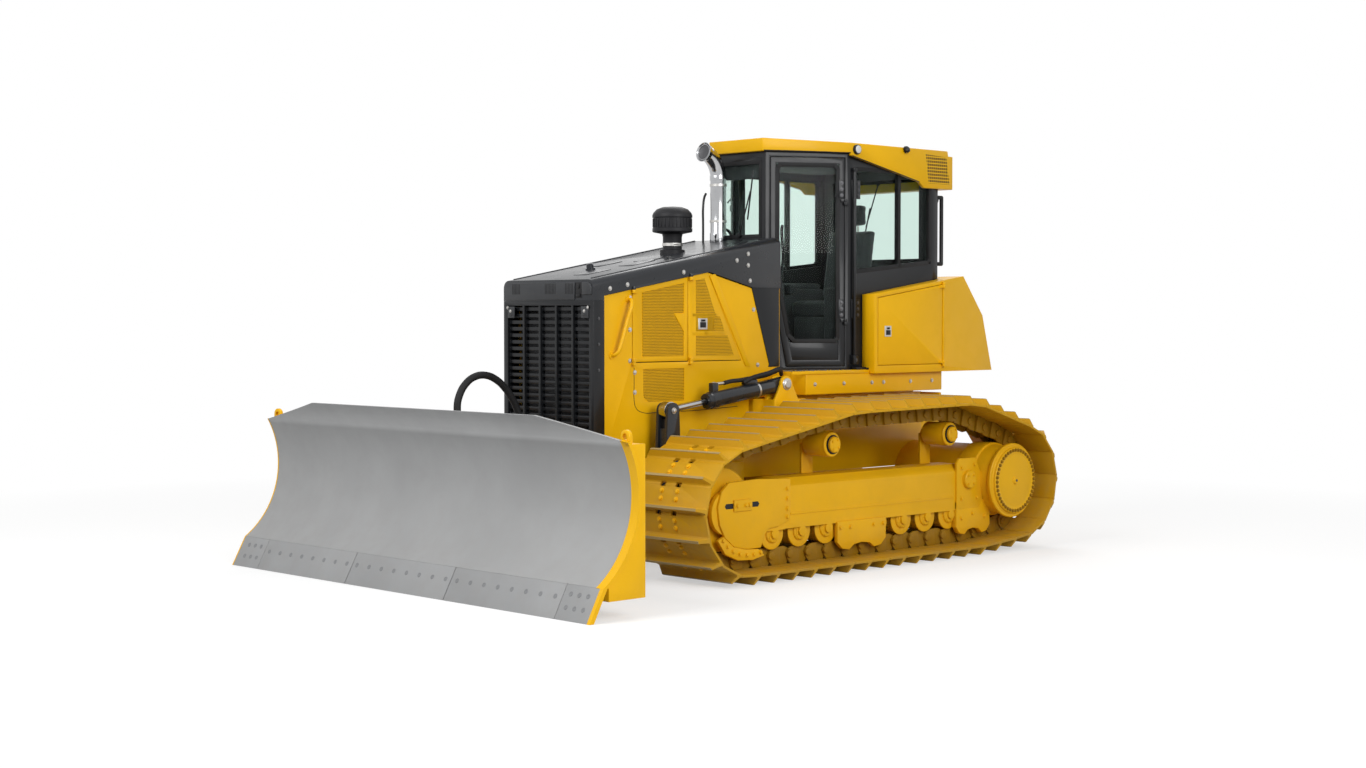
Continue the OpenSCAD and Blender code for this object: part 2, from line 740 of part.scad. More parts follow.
// Cab
cab_front_x = -cab_front_back;
cab_pillar_x = -cab_pillar_back;
cab_rear_x = -cab_rear_back;
door_run = cab_front_x - cab_pillar_x;
door_spread = cab_hw - cab_front_hw;
door_len = norm([door_run, door_spread]);
door_angle = atan2(door_spread, door_run);
cab_floor_t = 40;
door_head = 45;
wind_head = 70;
side_win_head = 110;
rear_win_head = 140;
rear_win_side = 150;
door_hinge_in = 340;
door_top_z = cab_wall_top_z - door_head;
door_sill_z = 1450;
door_front_in = 40;
door_rear_in = 30;
door_slant = 130;
door_slant_z = 2150;
door_frame_w = 46;
glass_t = 8;
wind_low_z = 2440;
wind_top_z = cab_wall_top_z - wind_head;
wind_side = 46;
side_win_front_in = 70;
side_win_rear_in = 90;
side_win_low_z = 2170;
side_win_rise = 90;
side_win_top_z = cab_wall_top_z - side_win_head;
rear_win_hw = cab_hw - rear_win_side;
rear_win_low_z = 2280;
rear_win_top_z = cab_wall_top_z - rear_win_head;

// Plan of the cab, drawn in from its outside by a wall
function cab_plan(t) =
    let (m = door_spread / door_run,
        slip = t * sqrt(1 + m * m),
        front_y = cab_front_hw + t * m - slip,
        bend_x = cab_front_x - (cab_hw - t - cab_front_hw + slip) / m,
        half = [[cab_front_x - t, front_y], [bend_x, cab_hw - t], [cab_rear_x + t, cab_hw - t]])
    mirrored(half);

// The plane of the left door: outline as run from the cab's front corner and height, thickness inwards
module in_door_plane(depth, t) {
    translate([cab_front_x, cab_front_hw, 0]) rotate(180 - door_angle)
        translate([0, depth + t, 0]) rotate([90, 0, 0]) linear_extrude(t) children();
}

// Hinges of the left door, on the pillar behind it
door_hinge_z = [door_sill_z + door_hinge_in, door_top_z - door_hinge_in];
door_axis_run = door_len - door_rear_in + seam / 2;
door_lug_run = door_len - door_axis_run - pin_gap;

module at_door_hinges() {
    for (z = door_hinge_z)
        translate([cab_front_x, cab_front_hw, z]) rotate(180 - door_angle) translate([door_axis_run,
            -hinge_out, 0])
            rotate(180) children();
}

module door_outline(inset) {
    polygon([[door_front_in + inset, door_top_z - inset], [door_front_in + inset, door_slant_z],
        [door_front_in + door_slant + inset, door_sill_z + inset],
        [door_len - door_rear_in - inset, door_sill_z + inset],
        [door_len - door_rear_in - inset, door_top_z - inset]]);
}

module side_window_outline(inset) {
    polygon([[cab_pillar_x - side_win_front_in - inset, side_win_low_z + inset],
        [cab_pillar_x - side_win_front_in - inset, side_win_top_z - inset],
        [cab_rear_x + side_win_rear_in + inset, side_win_top_z - inset],
        [cab_rear_x + side_win_rear_in + inset, side_win_low_z + side_win_rise + inset]]);
}

module rear_window_outline(inset) {
    translate([inset - rear_win_hw, rear_win_low_z + inset])
        square([2 * rear_win_hw - 2 * inset, rear_win_top_z - rear_win_low_z - 2 * inset]);
}

module windshield_outline(inset) {
    translate([inset + wind_side - cab_front_hw, wind_low_z + inset])
        square([2 * cab_front_hw - 2 * wind_side - 2 * inset, wind_top_z - wind_low_z - 2 * inset]);
}

module cab_frame() {
    color(charcoal) {
        difference() {
            translate([0, 0, cab_floor_z]) linear_extrude(cab_wall_top_z - cab_floor_z) polygon(cab_plan(0));
            translate([0, 0, cab_floor_z + cab_floor_t])
                linear_extrude(cab_wall_top_z - cab_floor_z) polygon(cab_plan(cab_wall));
            both_sides() {
                in_door_plane(-overrun, cab_wall + 2 * overrun) door_outline(-seam);
                side_plate(cab_hw - cab_wall - overrun, cab_wall + 2 * overrun) side_window_outline(0);
            }
            front_plate(cab_rear_x - overrun, cab_wall + 2 * overrun) rear_window_outline(0);
            front_plate(cab_front_x - cab_wall - overrun, cab_wall + 2 * overrun) windshield_outline(0);
        }
        both_sides() at_door_hinges() {
            translate([0, 0, -hinge_h]) cylinder(h = hinge_h - hinge_step, r = hinge_r);
            span([-door_lug_run, 3 * hinge_step - hinge_out, -hinge_h], [0, hinge_r - hinge_step, -hinge_step]);
            span([-door_lug_run, -hinge_out - hinge_bite, -hinge_h], [-seam, 0, -hinge_step]);
            hinge_pin();
        }
    }
}

module cab_glass() {
    color("#9fb5ae") {
        both_sides() side_plate(cab_hw - (cab_wall + glass_t) / 2, glass_t) side_window_outline(seat_gap);
        front_plate(cab_rear_x + (cab_wall - glass_t) / 2, glass_t) rear_window_outline(seat_gap);
        front_plate(cab_front_x - (cab_wall + glass_t) / 2, glass_t) windshield_outline(seat_gap);
    }
}

module cab_door(side) {
    color(charcoal) on_side(side) at_door_hinges() hinge_knuckle();
    color(charcoal) on_side(side) in_door_plane(0, cab_wall) difference() {
        door_outline(0);
        door_outline(door_frame_w);
    }
}

module door_glass(side) {
    color("#9fb5ae") on_side(side) in_door_plane((cab_wall - glass_t) / 2, glass_t)
        door_outline(door_frame_w + seat_gap);
}

// Roof with side skirts and the air conditioner's box behind
roof_lip = 34;
skirt_gap = 4;
skirt_front_h = 88;
skirt_rear_h = 288;
skirt_front_z = roof_top_z - skirt_front_h;
skirt_rear_z = roof_top_z - skirt_rear_h;
skirt_rear_x = -1900;
skirt_drop_x = -1965;
box_front_x = -2190;
box_h = 335;
box_low_z = roof_top_z - box_h;
box_rear_x = -2330;
box_top_rear_x = -2265;
roof_crown = 24;
roof_edge_z = roof_top_z - roof_crown;

module cab_roof() {
    color(yellow) intersection() {
        translate([0, 0, box_low_z]) linear_extrude(roof_top_z) polygon(roof_plan());
        union() {
            side_plate(-2 * cab_hw, 4 * cab_hw)
                polygon([[cab_front_x + roof_lip, cab_wall_top_z + seat_gap], [cab_front_x + roof_lip,
                    roof_top_z],
                    [cab_pillar_x, roof_edge_z], [box_top_rear_x, roof_edge_z], [box_rear_x, box_low_z],
                    [box_front_x, box_low_z], [box_front_x, cab_wall_top_z + seat_gap]]);
            both_sides() side_plate(cab_hw + skirt_gap, roof_lip)
                polygon([[cab_pillar_x, cab_wall_top_z + roof_lip], [cab_pillar_x, skirt_front_z - roof_lip],
                    [skirt_rear_x, skirt_rear_z], [skirt_drop_x, box_low_z], [box_rear_x, box_low_z],
                    [box_rear_x, cab_wall_top_z + roof_lip]]);
        }
    }
}

function roof_plan() = mirrored([[cab_front_x + roof_lip, cab_front_hw], [cab_pillar_x, cab_hw + roof_lip],
    [box_rear_x, cab_hw + roof_lip]]);

// Seat and consoles
seat_x = -1560;
seat_hw = 260;
seat_d = 500;
seat_low_z = 1830;
seat_t = 130;
back_t = 130;
head_room = 340;
head_h = 200;
head_top_z = cab_wall_top_z - head_room;
back_top_z = head_top_z - head_h;
back_lean = 90;
head_hw = 140;
head_gap = 8;
base_hw = 210;
console_gap = 20;
console_w = 170;
console_top_z = 2060;
console_len = 640;
dash_x = -660;
dash_d = 150;
dash_hw = 200;
dash_top_z = 2180;

module seat() {
    color("#2b2c2e") {
        span([seat_x - seat_d / 2, -seat_hw, seat_low_z], [seat_x + seat_d / 2, seat_hw,
            seat_low_z + seat_t]);
        side_plate(-seat_hw, 2 * seat_hw)
            polygon([[seat_x - seat_d / 2, seat_low_z], [seat_x - seat_d / 2 + back_t, seat_low_z],
                [seat_x - seat_d / 2 + back_t - back_lean, back_top_z],
                    [seat_x - seat_d / 2 - back_lean, back_top_z]]);
        side_plate(-head_hw, 2 * head_hw)
            polygon([[seat_x - seat_d / 2 - back_lean, back_top_z - head_gap],
                [seat_x - seat_d / 2 + back_t - back_lean, back_top_z - head_gap],
                [seat_x - seat_d / 2 + back_t - back_lean, head_top_z],
                    [seat_x - seat_d / 2 - back_lean, head_top_z]]);
    }
}

module consoles() {
    floor_z = cab_floor_z + cab_floor_t + seat_gap;
    color(charcoal) {
        span([seat_x - base_hw, -base_hw, floor_z], [seat_x + base_hw, base_hw, seat_low_z - seat_gap]);
        both_sides() span([seat_x - seat_d / 2, seat_hw + console_gap, floor_z],
            [seat_x - seat_d / 2 + console_len, seat_hw + console_gap + console_w, console_top_z]);
        span([dash_x - dash_d, -dash_hw, floor_z], [dash_x, dash_hw, dash_top_z]);
    }
}

// Rear tank with a box along each side of the cab
tank_front_x = -1245;
tank_front_top_z = 2005;
tank_top_rear_x = -2354;
tank_top_rear_z = 2160;
tank_bend_x = -2610;
tank_bend_z = 1840;
tank_rear_x = -2736;
tank_low_z = 1390;
tank_gap = 5;
pocket_d = 90;
tank_door_t = 26;
tank_door_front_in = 45;
tank_door_rear_x = -2080;
tank_door_low_z = 1455;
tank_door_top_in = 35;

// Height of the tank's top at a station
function tank_top_z(x) = tank_front_top_z + (tank_top_rear_z - tank_front_top_z) * (tank_front_x - x)
    / (tank_front_x - tank_top_rear_x);

module tank_door_outline(inset) {
    front_x = tank_front_x - tank_door_front_in - inset;
    rear_x = tank_door_rear_x + inset;
    polygon([[front_x, tank_door_low_z + inset], [front_x, tank_top_z(front_x) - tank_door_top_in - inset],
        [rear_x, tank_top_z(rear_x) - tank_door_top_in - inset], [rear_x, tank_door_low_z + inset]]);
}

module at_low_tank_hinge() {
    translate([tank_door_rear_x - seam / 2, tank_hw + hinge_out, tank_door_low_z]) children();
}

module at_high_tank_hinge() {
    translate([tank_door_rear_x - seam / 2, tank_hw + hinge_out, tank_top_z(tank_door_rear_x)
        - tank_door_top_in])
        mirror([0, 0, 1]) children();
}

module rear_tank() {
    color(yellow) both_sides() {
        at_low_tank_hinge() hinge_bracket(hinge_bite);
        at_high_tank_hinge() hinge_bracket(hinge_bite);
    }
    color(yellow) difference() {
        side_plate(-tank_hw, 2 * tank_hw)
            polygon([[tank_front_x, tank_low_z], [tank_front_x, tank_front_top_z], [tank_top_rear_x,
                tank_top_rear_z],
                [tank_bend_x, tank_bend_z], [tank_rear_x, tank_low_z]]);
        span([cab_rear_x - tank_gap, -cab_hw - tank_gap, tank_low_z - overrun],
            [tank_front_x + overrun, cab_hw + tank_gap, tank_top_rear_z + overrun]);
        span([platform_rear_x - tank_gap, -platform_hw - seat_gap, tank_low_z - overrun],
            [tank_front_x + overrun, platform_hw + seat_gap, cab_floor_z]);
        both_sides() {
            side_plate(tank_hw - tank_door_t, tank_door_t + overrun) tank_door_outline(-seam);
            side_plate(tank_hw - pocket_d, pocket_d + overrun) tank_door_outline(tank_door_top_in);
        }
    }
}

module tank_door(side) {
    color(yellow) on_side(side) {
        at_low_tank_hinge() hinge_knuckle();
        at_high_tank_hinge() hinge_knuckle();
        side_plate(tank_hw - tank_door_t + seat_gap, tank_door_t - seat_gap) tank_door_outline(0);
    }
}

// Grab loops at the cab's rear corners, lamps and drawbar
rail_r = 16;
loop_x = -2245;
loop_in = 14;
loop_y = cab_hw - loop_in;
loop_low_z = 2260;
loop_head = 300;
loop_top_z = cab_wall_top_z - loop_head;
lamp_r = 38;
lamp_d = 26;
side_lamp_x = -1130;
side_lamp_low = 75;
side_lamp_z = roof_top_z - side_lamp_low;
rear_lamp_in = 95;
rear_lamp_y = cab_hw - rear_lamp_in;
rear_lamp_low = 310;
rear_lamp_z = cab_wall_top_z - rear_lamp_low;
rear_lamp_r = 52;
rear_lamp_d = 70;
drawbar_hw = 170;
drawbar_low_z = 640;
drawbar_top_z = 960;
drawbar_jaw_low_z = 740;
drawbar_jaw_top_z = 860;
drawbar_jaw_d = 200;
drawbar_pin_in = 95;
drawbar_pin_r = 26;

module handrails() {
    color("#1d1e20") both_sides() {
        bar([loop_x, loop_y, loop_low_z], [loop_x, loop_y, loop_top_z], rail_r);
        for (z = [loop_low_z, loop_top_z]) {
            translate([loop_x, loop_y, z]) sphere(r = rail_r);
            bar([loop_x, loop_y, z], [cab_rear_x - seat_gap, loop_y, z], rail_r);
        }
    }
}

module lamps() {
    color("#d9dcda") both_sides() {
        cross_bar(side_lamp_x, cab_hw + roof_lip + seat_gap, side_lamp_z, lamp_r, lamp_d);
        bar([cab_rear_x - seat_gap, rear_lamp_y, rear_lamp_z], [cab_rear_x - rear_lamp_d, rear_lamp_y,
            rear_lamp_z], rear_lamp_r);
    }
}

module drawbar() {
    color(charcoal) difference() {
        span([-drawbar_end_back, -drawbar_hw, drawbar_low_z], [frame_rear_x - seat_gap, drawbar_hw,
            drawbar_top_z]);
        span([-drawbar_end_back - overrun, -drawbar_hw - overrun, drawbar_jaw_low_z],
            [drawbar_jaw_d - drawbar_end_back, drawbar_hw + overrun, drawbar_jaw_top_z]);
        translate([drawbar_pin_in - drawbar_end_back, 0, drawbar_low_z - overrun])
            cylinder(h = drawbar_top_z - drawbar_low_z + 2 * overrun, r = drawbar_pin_r);
    }
}

// Hydraulic cylinders, drawn along +X from the base pin, with both pins along Y

module barrel(len, r, rod_r, eye_r, eye_w, bore_r, blind, neck) {
    difference() {
        union() {
            translate([0, eye_w / 2, 0]) rotate([90, 0, 0]) cylinder(h = eye_w, r = eye_r);
            rotate([0, 90, 0]) cylinder(h = len, r = r);
        }
        translate([0, eye_w, 0]) rotate([90, 0, 0]) cylinder(h = 2 * eye_w, r = bore_r);
        for (s = [-1, 1])
            translate([-eye_r, s < 0 ? -r - eye_w / 2 : eye_w / 2, -2 * r]) cube([eye_r + neck, r, 4 * r]);
        translate([blind, 0, 0]) rotate([0, 90, 0]) cylinder(h = len, r = rod_r + rod_gap);
    }
}

module rod(start, len, r, eye_r, eye_w, bore_r) {
    difference() {
        union() {
            translate([len, eye_w / 2, 0]) rotate([90, 0, 0]) cylinder(h = eye_w, r = eye_r);
            translate([start, 0, 0]) rotate([0, 90, 0]) cylinder(h = len - start, r = r);
        }
        translate([len, eye_w, 0]) rotate([90, 0, 0]) cylinder(h = 2 * eye_w, r = bore_r);
    }
}

// Radial clearance of a rod in its barrel
rod_gap = 1;
// Room at a rod's eye, where the linkage is left open
eye_drift = 16;
angle_eye_drift = 33;
tilt_eye_drift = 4;

// Lift cylinders
lift_dx = lift_eye_x - lift_base_x;
lift_dz = lift_eye_z - lift_base_z;
lift_len = norm([lift_dx, lift_dz]);
lift_tilt = atan2(lift_dz, lift_dx);
lift_barrel_len = 800;
lift_rod_start = 480;
lift_blind = 140;
lift_neck = 120;
lift_eye_w = 64;
lift_base_eye_r = 52;
lift_rod_eye_r = 62;

module at_lift(side) {
    on_side(side) translate([lift_base_x, lift_y, lift_base_z]) rotate([0, -lift_tilt, 0]) children();
}

module lift_barrel(side) {
    color(charcoal) at_lift(side)
        barrel(lift_barrel_len, lift_barrel_r, lift_rod_r, lift_base_eye_r, lift_eye_w,
            pin_r + pin_gap, lift_blind,
            lift_neck);
}

module lift_rod(side) {
    color("silver") at_lift(side)
        rod(lift_rod_start, lift_len, lift_rod_r, lift_rod_eye_r, lift_eye_w, pin_r + eye_drift);
}

// Angle cylinders, level, between the push arms and the trunnion
angle_base_x = 1080;
angle_base_y = 578;
angle_eye_x = 2145;
angle_eye_y = 603;
angle_z = 700;
angle_barrel_r = 46;
angle_rod_r = 24;
angle_barrel_len = 690;
angle_rod_start = 420;
angle_blind = 100;
angle_neck = 64;
angle_eye_w = 56;
angle_base_eye_r = 46;
angle_rod_eye_r = 78;
angle_len = norm([angle_eye_x - angle_base_x, angle_eye_y - angle_base_y]);
angle_yaw = atan2(angle_eye_y - angle_base_y, angle_eye_x - angle_base_x);

module at_angle(side) {
    on_side(side) translate([angle_base_x, angle_base_y, angle_z]) rotate(angle_yaw) rotate([90, 0, 0])
        children();
}

module angle_barrel(side) {
    color(charcoal) at_angle(side)
        barrel(angle_barrel_len, angle_barrel_r, angle_rod_r, angle_base_eye_r, angle_eye_w,
            pin_r + pin_gap, angle_blind,
            angle_neck);
}

module angle_rod(side) {
    color("silver") at_angle(side)
        rod(angle_rod_start, angle_len, angle_rod_r, angle_rod_eye_r, angle_eye_w, pin_r + angle_eye_drift);
}

// Tilt cylinder, across the machine behind the blade
tilt_x = 2225;
tilt_base_y = 330;
tilt_base_z = 900;
tilt_eye_y = -520;
tilt_eye_z = 860;
tilt_barrel_r = 46;
tilt_rod_r = 24;
tilt_barrel_len = 560;
tilt_rod_start = 330;
tilt_blind = 90;
tilt_eye_w = 56;
tilt_base_eye_r = 46;
tilt_rod_eye_r = 52;
tilt_len = norm([tilt_eye_y - tilt_base_y, tilt_eye_z - tilt_base_z]);
tilt_roll = atan2(tilt_base_z - tilt_eye_z, tilt_base_y - tilt_eye_y);

module at_tilt() {
    translate([tilt_x, tilt_base_y, tilt_base_z]) rotate([tilt_roll, 0, 0]) rotate(-90) children();
}

module tilt_barrel() {
    color(charcoal) at_tilt()
        barrel(tilt_barrel_len, tilt_barrel_r, tilt_rod_r, tilt_base_eye_r, tilt_eye_w,
            pin_r + pin_gap, tilt_blind,
            tilt_base_eye_r);
}

module tilt_rod() {
    color("silver") at_tilt()
        rod(tilt_rod_start, tilt_len, tilt_rod_r, tilt_rod_eye_r, tilt_eye_w, pin_r + tilt_eye_drift);
}

// Push frame: two arms, a front cross member with a fork, and a tower for each lift rod
arm_in_y = arm_y - arm_w / 2;
arm_out_y = arm_y + arm_w / 2;
cross_rear_x = 1640;
cross_front_x = 1810;
cross_bend_x = 1680;
cross_nose_hw = 170;
fork_t = 44;
fork_r = 105;
fork_hole_h = 190;
king_r = 60;
tower_hx = 80;
pivot_boss_r = 105;
tower_out_y = 702;
tower_web_top_z = 1040;
tower_ear_r = 56;
tower_ear_t = 24;
tower_gap = 72;
angle_post_hx = 50;
angle_fork_t = 18;
angle_fork_gap = 62;

module push_frame() {
    arm_low_z = pivot_z - arm_h / 2;
    arm_top_z = pivot_z + arm_h / 2;
    half = [[cross_rear_x, arm_in_y], [pivot_x, arm_in_y], [pivot_x, arm_out_y], [cross_bend_x, arm_out_y],
        [cross_front_x, cross_nose_hw]];
    color(charcoal) difference() {
        union() {
            translate([0, 0, arm_low_z]) linear_extrude(arm_h) polygon(mirrored(half));
            both_sides() {
                cross_bar(pivot_x, arm_in_y, pivot_z, pivot_boss_r, arm_w);
                span([lift_eye_x - tower_hx, arm_in_y, arm_low_z], [lift_eye_x + tower_hx, tower_out_y,
                    arm_top_z]);
                for (y = [lift_y - tower_gap / 2 - tower_ear_t, lift_y + tower_gap / 2])
                    side_plate(y, tower_ear_t) {
                        translate([lift_eye_x, lift_eye_z]) circle(r = tower_ear_r);
                        polygon([[lift_eye_x - tower_hx, arm_top_z - overrun], [lift_eye_x + tower_hx,
                            arm_top_z - overrun],
                            [lift_eye_x + tower_ear_r, lift_eye_z], [lift_eye_x - tower_ear_r, lift_eye_z]]);
                    }
                span([lift_eye_x - tower_hx / 2, lift_y - tower_gap / 2 - overrun, arm_top_z - overrun],
                    [lift_eye_x + tower_hx / 2, lift_y + tower_gap / 2 + overrun, tower_web_top_z]);
                cross_bar(lift_eye_x, lift_y - tower_gap / 2 - tower_ear_t, lift_eye_z, pin_r,
                    tower_gap + 2 * tower_ear_t);
                span([angle_base_x - angle_post_hx, arm_in_y, arm_top_z - overrun],
                    [angle_base_x + angle_post_hx, arm_out_y, angle_z - angle_fork_gap / 2]);
                translate([angle_base_x, angle_base_y, angle_z - angle_fork_gap / 2 - overrun])
                    cylinder(h = angle_fork_gap + angle_fork_t, r = pin_r);
            }
            for (z = [ball_z - fork_hole_h / 2 - fork_t, ball_z + fork_hole_h / 2])
                translate([0, 0, z]) linear_extrude(fork_t) {
                    translate([ball_x, 0]) circle(r = fork_r);
                    translate([cross_front_x - overrun, -fork_r])
                        square([ball_x - cross_front_x + overrun, 2 * fork_r]);
                }
            translate([ball_x, 0, ball_z - fork_hole_h / 2 - fork_t])
                cylinder(h = fork_hole_h + 2 * fork_t, r = king_r);
            span([cross_rear_x - overrun, overrun - cross_nose_hw, ball_z - fork_hole_h / 2 - fork_t],
                [cross_front_x, cross_nose_hw - overrun, ball_z + fork_hole_h / 2 + fork_t]);
        }
        both_sides() cross_bar(pivot_x, arm_in_y - overrun, pivot_z, pivot_pin_r + pin_gap, arm_w + 2
            * overrun);
    }
}

// Trunnion: turns on the king pin, carries the blade on a level pin and the tilt cylinder on a post
trunnion_gap = 2;
neck_r = 70;
neck_front_x = 2330;
neck_rear_x = 2120;
post_x = 2115;
post_d = 50;
post_in_y = -60;
post_out_y = 380;
post_top_z = 960;
yoke_rear_x = 2100;
yoke_front_x = 2180;
yoke_bar_hw = 670;
yoke_bar_low_z = 600;

module trunnion() {
    color(charcoal) difference() {
        union() {
            translate([ball_x, 0, ball_z - fork_hole_h / 2 + trunnion_gap])
                cylinder(h = fork_hole_h - 2 * trunnion_gap, r = fork_r);
            span([ball_x, -neck_r, ball_z - neck_r], [neck_rear_x, neck_r, ball_z + neck_r]);
            bar([neck_rear_x - overrun, 0, ball_z], [neck_front_x, 0, ball_z], neck_r);
            front_plate(post_x, post_d)
                polygon([[-fork_r, ball_z], [fork_r, ball_z], [post_out_y, tilt_base_z - tilt_base_eye_r],
                    [post_out_y, post_top_z], [tilt_base_y - tilt_base_eye_r, post_top_z], [post_in_y,
                        ball_z + fork_r]]);
            bar([post_x, tilt_base_y, tilt_base_z], [tilt_x + tilt_eye_w / 2, tilt_base_y,
                tilt_base_z], pin_r);
            span([yoke_rear_x, -yoke_bar_hw, yoke_bar_low_z], [yoke_front_x, yoke_bar_hw,
                angle_z - angle_fork_gap / 2]);
            both_sides() translate([angle_eye_x, angle_eye_y, yoke_bar_low_z])
                cylinder(h = angle_z + angle_fork_gap / 2 + angle_fork_t - yoke_bar_low_z, r = pin_r);
        }
        translate([ball_x, 0, 0]) cylinder(h = 2 * ball_z, r = king_r + pin_gap);
    }
}

// Blade
edge_top = [blade_edge_x - edge_setback, edge_h];
blade_top = [blade_edge_x - top_setback, blade_h];
chord = blade_top - edge_top;
mold_r = (norm(chord) * norm(chord) / 4 + hollow_d * hollow_d) / (2 * hollow_d);
chord_normal = [chord[1], -chord[0]] / norm(chord);
mold_center = (edge_top + blade_top) / 2 + chord_normal * (mold_r - hollow_d);
bit_w = 330;
edge_seam = 3;
segment_count = 3;
back_x = 2340;
beam_low_z = 120;
beam_high_z = 480;
beam_nose_x = 2640;
top_beam_low_z = 960;
top_beam_high_z = 1060;
rib_t = 24;
rib_y = [320, 608, 1360];
end_plate_in = 8;
lug_hw = 160;
lug_rear_x = 2190;
lug_low_z = 320;
lug_high_z = 640;
ear_front_x = 2400;

module blade_face_outline() {
    polygon([[-blade_w / 2, 0], [blade_w / 2, 0], [blade_w / 2, blade_end_h], [blade_top_hw, blade_h],
        [-blade_top_hw, blade_h], [-blade_w / 2, blade_end_h]]);
}

module moldboard() {
    color("#a3a6a9") intersection() {
        side_plate(-blade_w / 2, blade_w) intersection() {
            translate(mold_center) difference() {
                circle(r = mold_r + mold_t, $fn = 160);
                circle(r = mold_r, $fn = 160);
            }
            translate([mold_center[0] - 2 * mold_r, edge_h]) square([2 * mold_r, blade_h - edge_h]);
        }
        front_plate(mold_center[0] - 2 * mold_r, 2 * mold_r) blade_face_outline();
    }
}

module cutting_edge() {
    run = edge_t * norm([edge_h, edge_setback]) / edge_h;
    outline = [[blade_edge_x, 0], edge_top, edge_top - [run, 0], [blade_edge_x - run, 0]];
    middle_w = (blade_w - 2 * bit_w) / segment_count;
    color("#8f9295") {
        both_sides() side_plate(blade_w / 2 - bit_w, bit_w) polygon(outline);
        for (i = [0 : segment_count - 1])
            side_plate(bit_w - blade_w / 2 + i * middle_w + edge_seam, middle_w - 2 * edge_seam)
                polygon(outline);
    }
}

module blade_frame() {
    color(yellow) difference() {
        union() {
            span([back_x, end_plate_in - blade_w / 2, beam_low_z], [beam_nose_x,
                blade_w / 2 - end_plate_in, beam_high_z]);
            span([back_x, end_plate_in - blade_w / 2, top_beam_low_z], [beam_nose_x,
                blade_w / 2 - end_plate_in, top_beam_high_z]);
            both_sides() {
                for (y = rib_y)
                    span([back_x, y, beam_low_z], [beam_nose_x, y + rib_t, top_beam_high_z]);
                span([back_x, blade_w / 2 - end_plate_in - rib_t, beam_low_z],
                    [beam_nose_x, blade_w / 2 - end_plate_in, top_beam_high_z]);
            }
            span([lug_rear_x, -lug_hw, lug_low_z], [back_x + overrun, lug_hw, lug_high_z]);
            span([tilt_x + tilt_eye_w / 2 + trunnion_gap, -rib_y[1] - rib_t / 2, tilt_eye_z - tilt_rod_eye_r],
                [ear_front_x, -rib_y[0] - rib_t / 2, tilt_eye_z + tilt_rod_eye_r]);
            bar([tilt_x - tilt_eye_w / 2, tilt_eye_y, tilt_eye_z], [ear_front_x, tilt_eye_y,
                tilt_eye_z], pin_r);
        }
        side_plate(-blade_w, 2 * blade_w) translate(mold_center) circle(r = mold_r + mold_t + seat_gap,
            $fn = 160);
        bar([lug_rear_x - overrun, 0, ball_z], [neck_front_x + overrun, 0, ball_z], neck_r + pin_gap);
    }
}

// Hose bundle, arching from the radiator guard's foot to the push frame's fork
hose_r = 26;
hose_sides = 10;
hose_route = [[1490, -200, 801], [1491, -200, 860], [1495, -200, 930], [1505, -199, 1005], [1525, -198, 1085],
    [1558, -196, 1165], [1605, -193, 1245], [1670, -190, 1320], [1755, -186, 1385], [1855, -182, 1420],
    [1955, -178, 1412], [2040, -175, 1362], [2095, -173, 1285], [2115, -172, 1200], [2100, -170, 1115],
    [2060, -167, 1040], [2005, -163, 975], [1945, -158, 910], [1885, -153, 840], [1835, -148, 765],
    [1800, -144, 690], [1788, -141, 645], [1786, -140, 612]];

function hose_turn(i) =
    let (n = len(hose_route), a = hose_route[max(i - 1, 0)], b = hose_route[min(i + 1, n - 1)])
    (b - a) / norm(b - a);
function hose_ring(i) =
    let (t = hose_turn(i), u = cross(t, [0, 1, 0]) / norm(cross(t, [0, 1, 0])), v = cross(t, u))
    [for (k = [0 : hose_sides - 1])
        hose_route[i] + hose_r * (cos(360 * k / hose_sides) * u + sin(360 * k / hose_sides) * v)];

module hose() {
    n = len(hose_route);
    points = [for (i = [0 : n - 1]) each hose_ring(i)];
    walls = [for (i = [0 : n - 2], k = [0 : hose_sides - 1])
        let (next = (k + 1) % hose_sides)
        [i * hose_sides + k, (i + 1) * hose_sides + k, (i + 1) * hose_sides + next, i * hose_sides + next]];
    start = [for (k = [0 : hose_sides - 1]) k];
    end = [for (k = [hose_sides - 1 : -1 : 0]) (n - 1) * hose_sides + k];
    color("#161718") polyhedron(points, concat([start, end], walls));
}

main_frame();
engine_block();
radiator();
radiator_guard();
hood();
side_panels();
engine_door_front(1);  // engine_door_left_front
engine_door_rear(1);  // engine_door_left_rear
engine_door_front(-1);  // engine_door_right_front
engine_door_rear(-1);  // engine_door_right_rear
precleaner();
exhaust_stack();
platform();
cab_frame();
cab_roof();
cab_glass();
cab_door(1);  // cab_door_left
cab_door(-1);  // cab_door_right
door_glass(1);  // door_glass_left
door_glass(-1);  // door_glass_right
seat();
consoles();
rear_tank();
tank_door(1);  // tank_door_left
tank_door(-1);  // tank_door_right
handrails();
lamps();
drawbar();
track(1);  // track_left
track(-1);  // track_right
track_frame(1);  // track_frame_left
track_frame(-1);  // track_frame_right
final_drives();
idlers();
bottom_rollers();
carrier_rollers();
equalizer_bar();
push_frame();
trunnion();
moldboard();
blade_frame();
cutting_edge();
lift_barrel(1);  // lift_barrel_left
lift_barrel(-1);  // lift_barrel_right
lift_rod(1);  // lift_rod_left
lift_rod(-1);  // lift_rod_right
angle_barrel(1);  // angle_barrel_left
angle_barrel(-1);  // angle_barrel_right
angle_rod(1);  // angle_rod_left
angle_rod(-1);  // angle_rod_right
tilt_barrel();
tilt_rod();
hose();
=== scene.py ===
# %% [markdown]
# # Dressing a crawler bulldozer
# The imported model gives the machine's solids in metres, with +X forward, +Y to the machine's left and +Z up.
# This lesson keeps them where they are, gives them real finishes, and models the pieces that a plain solid lacks.

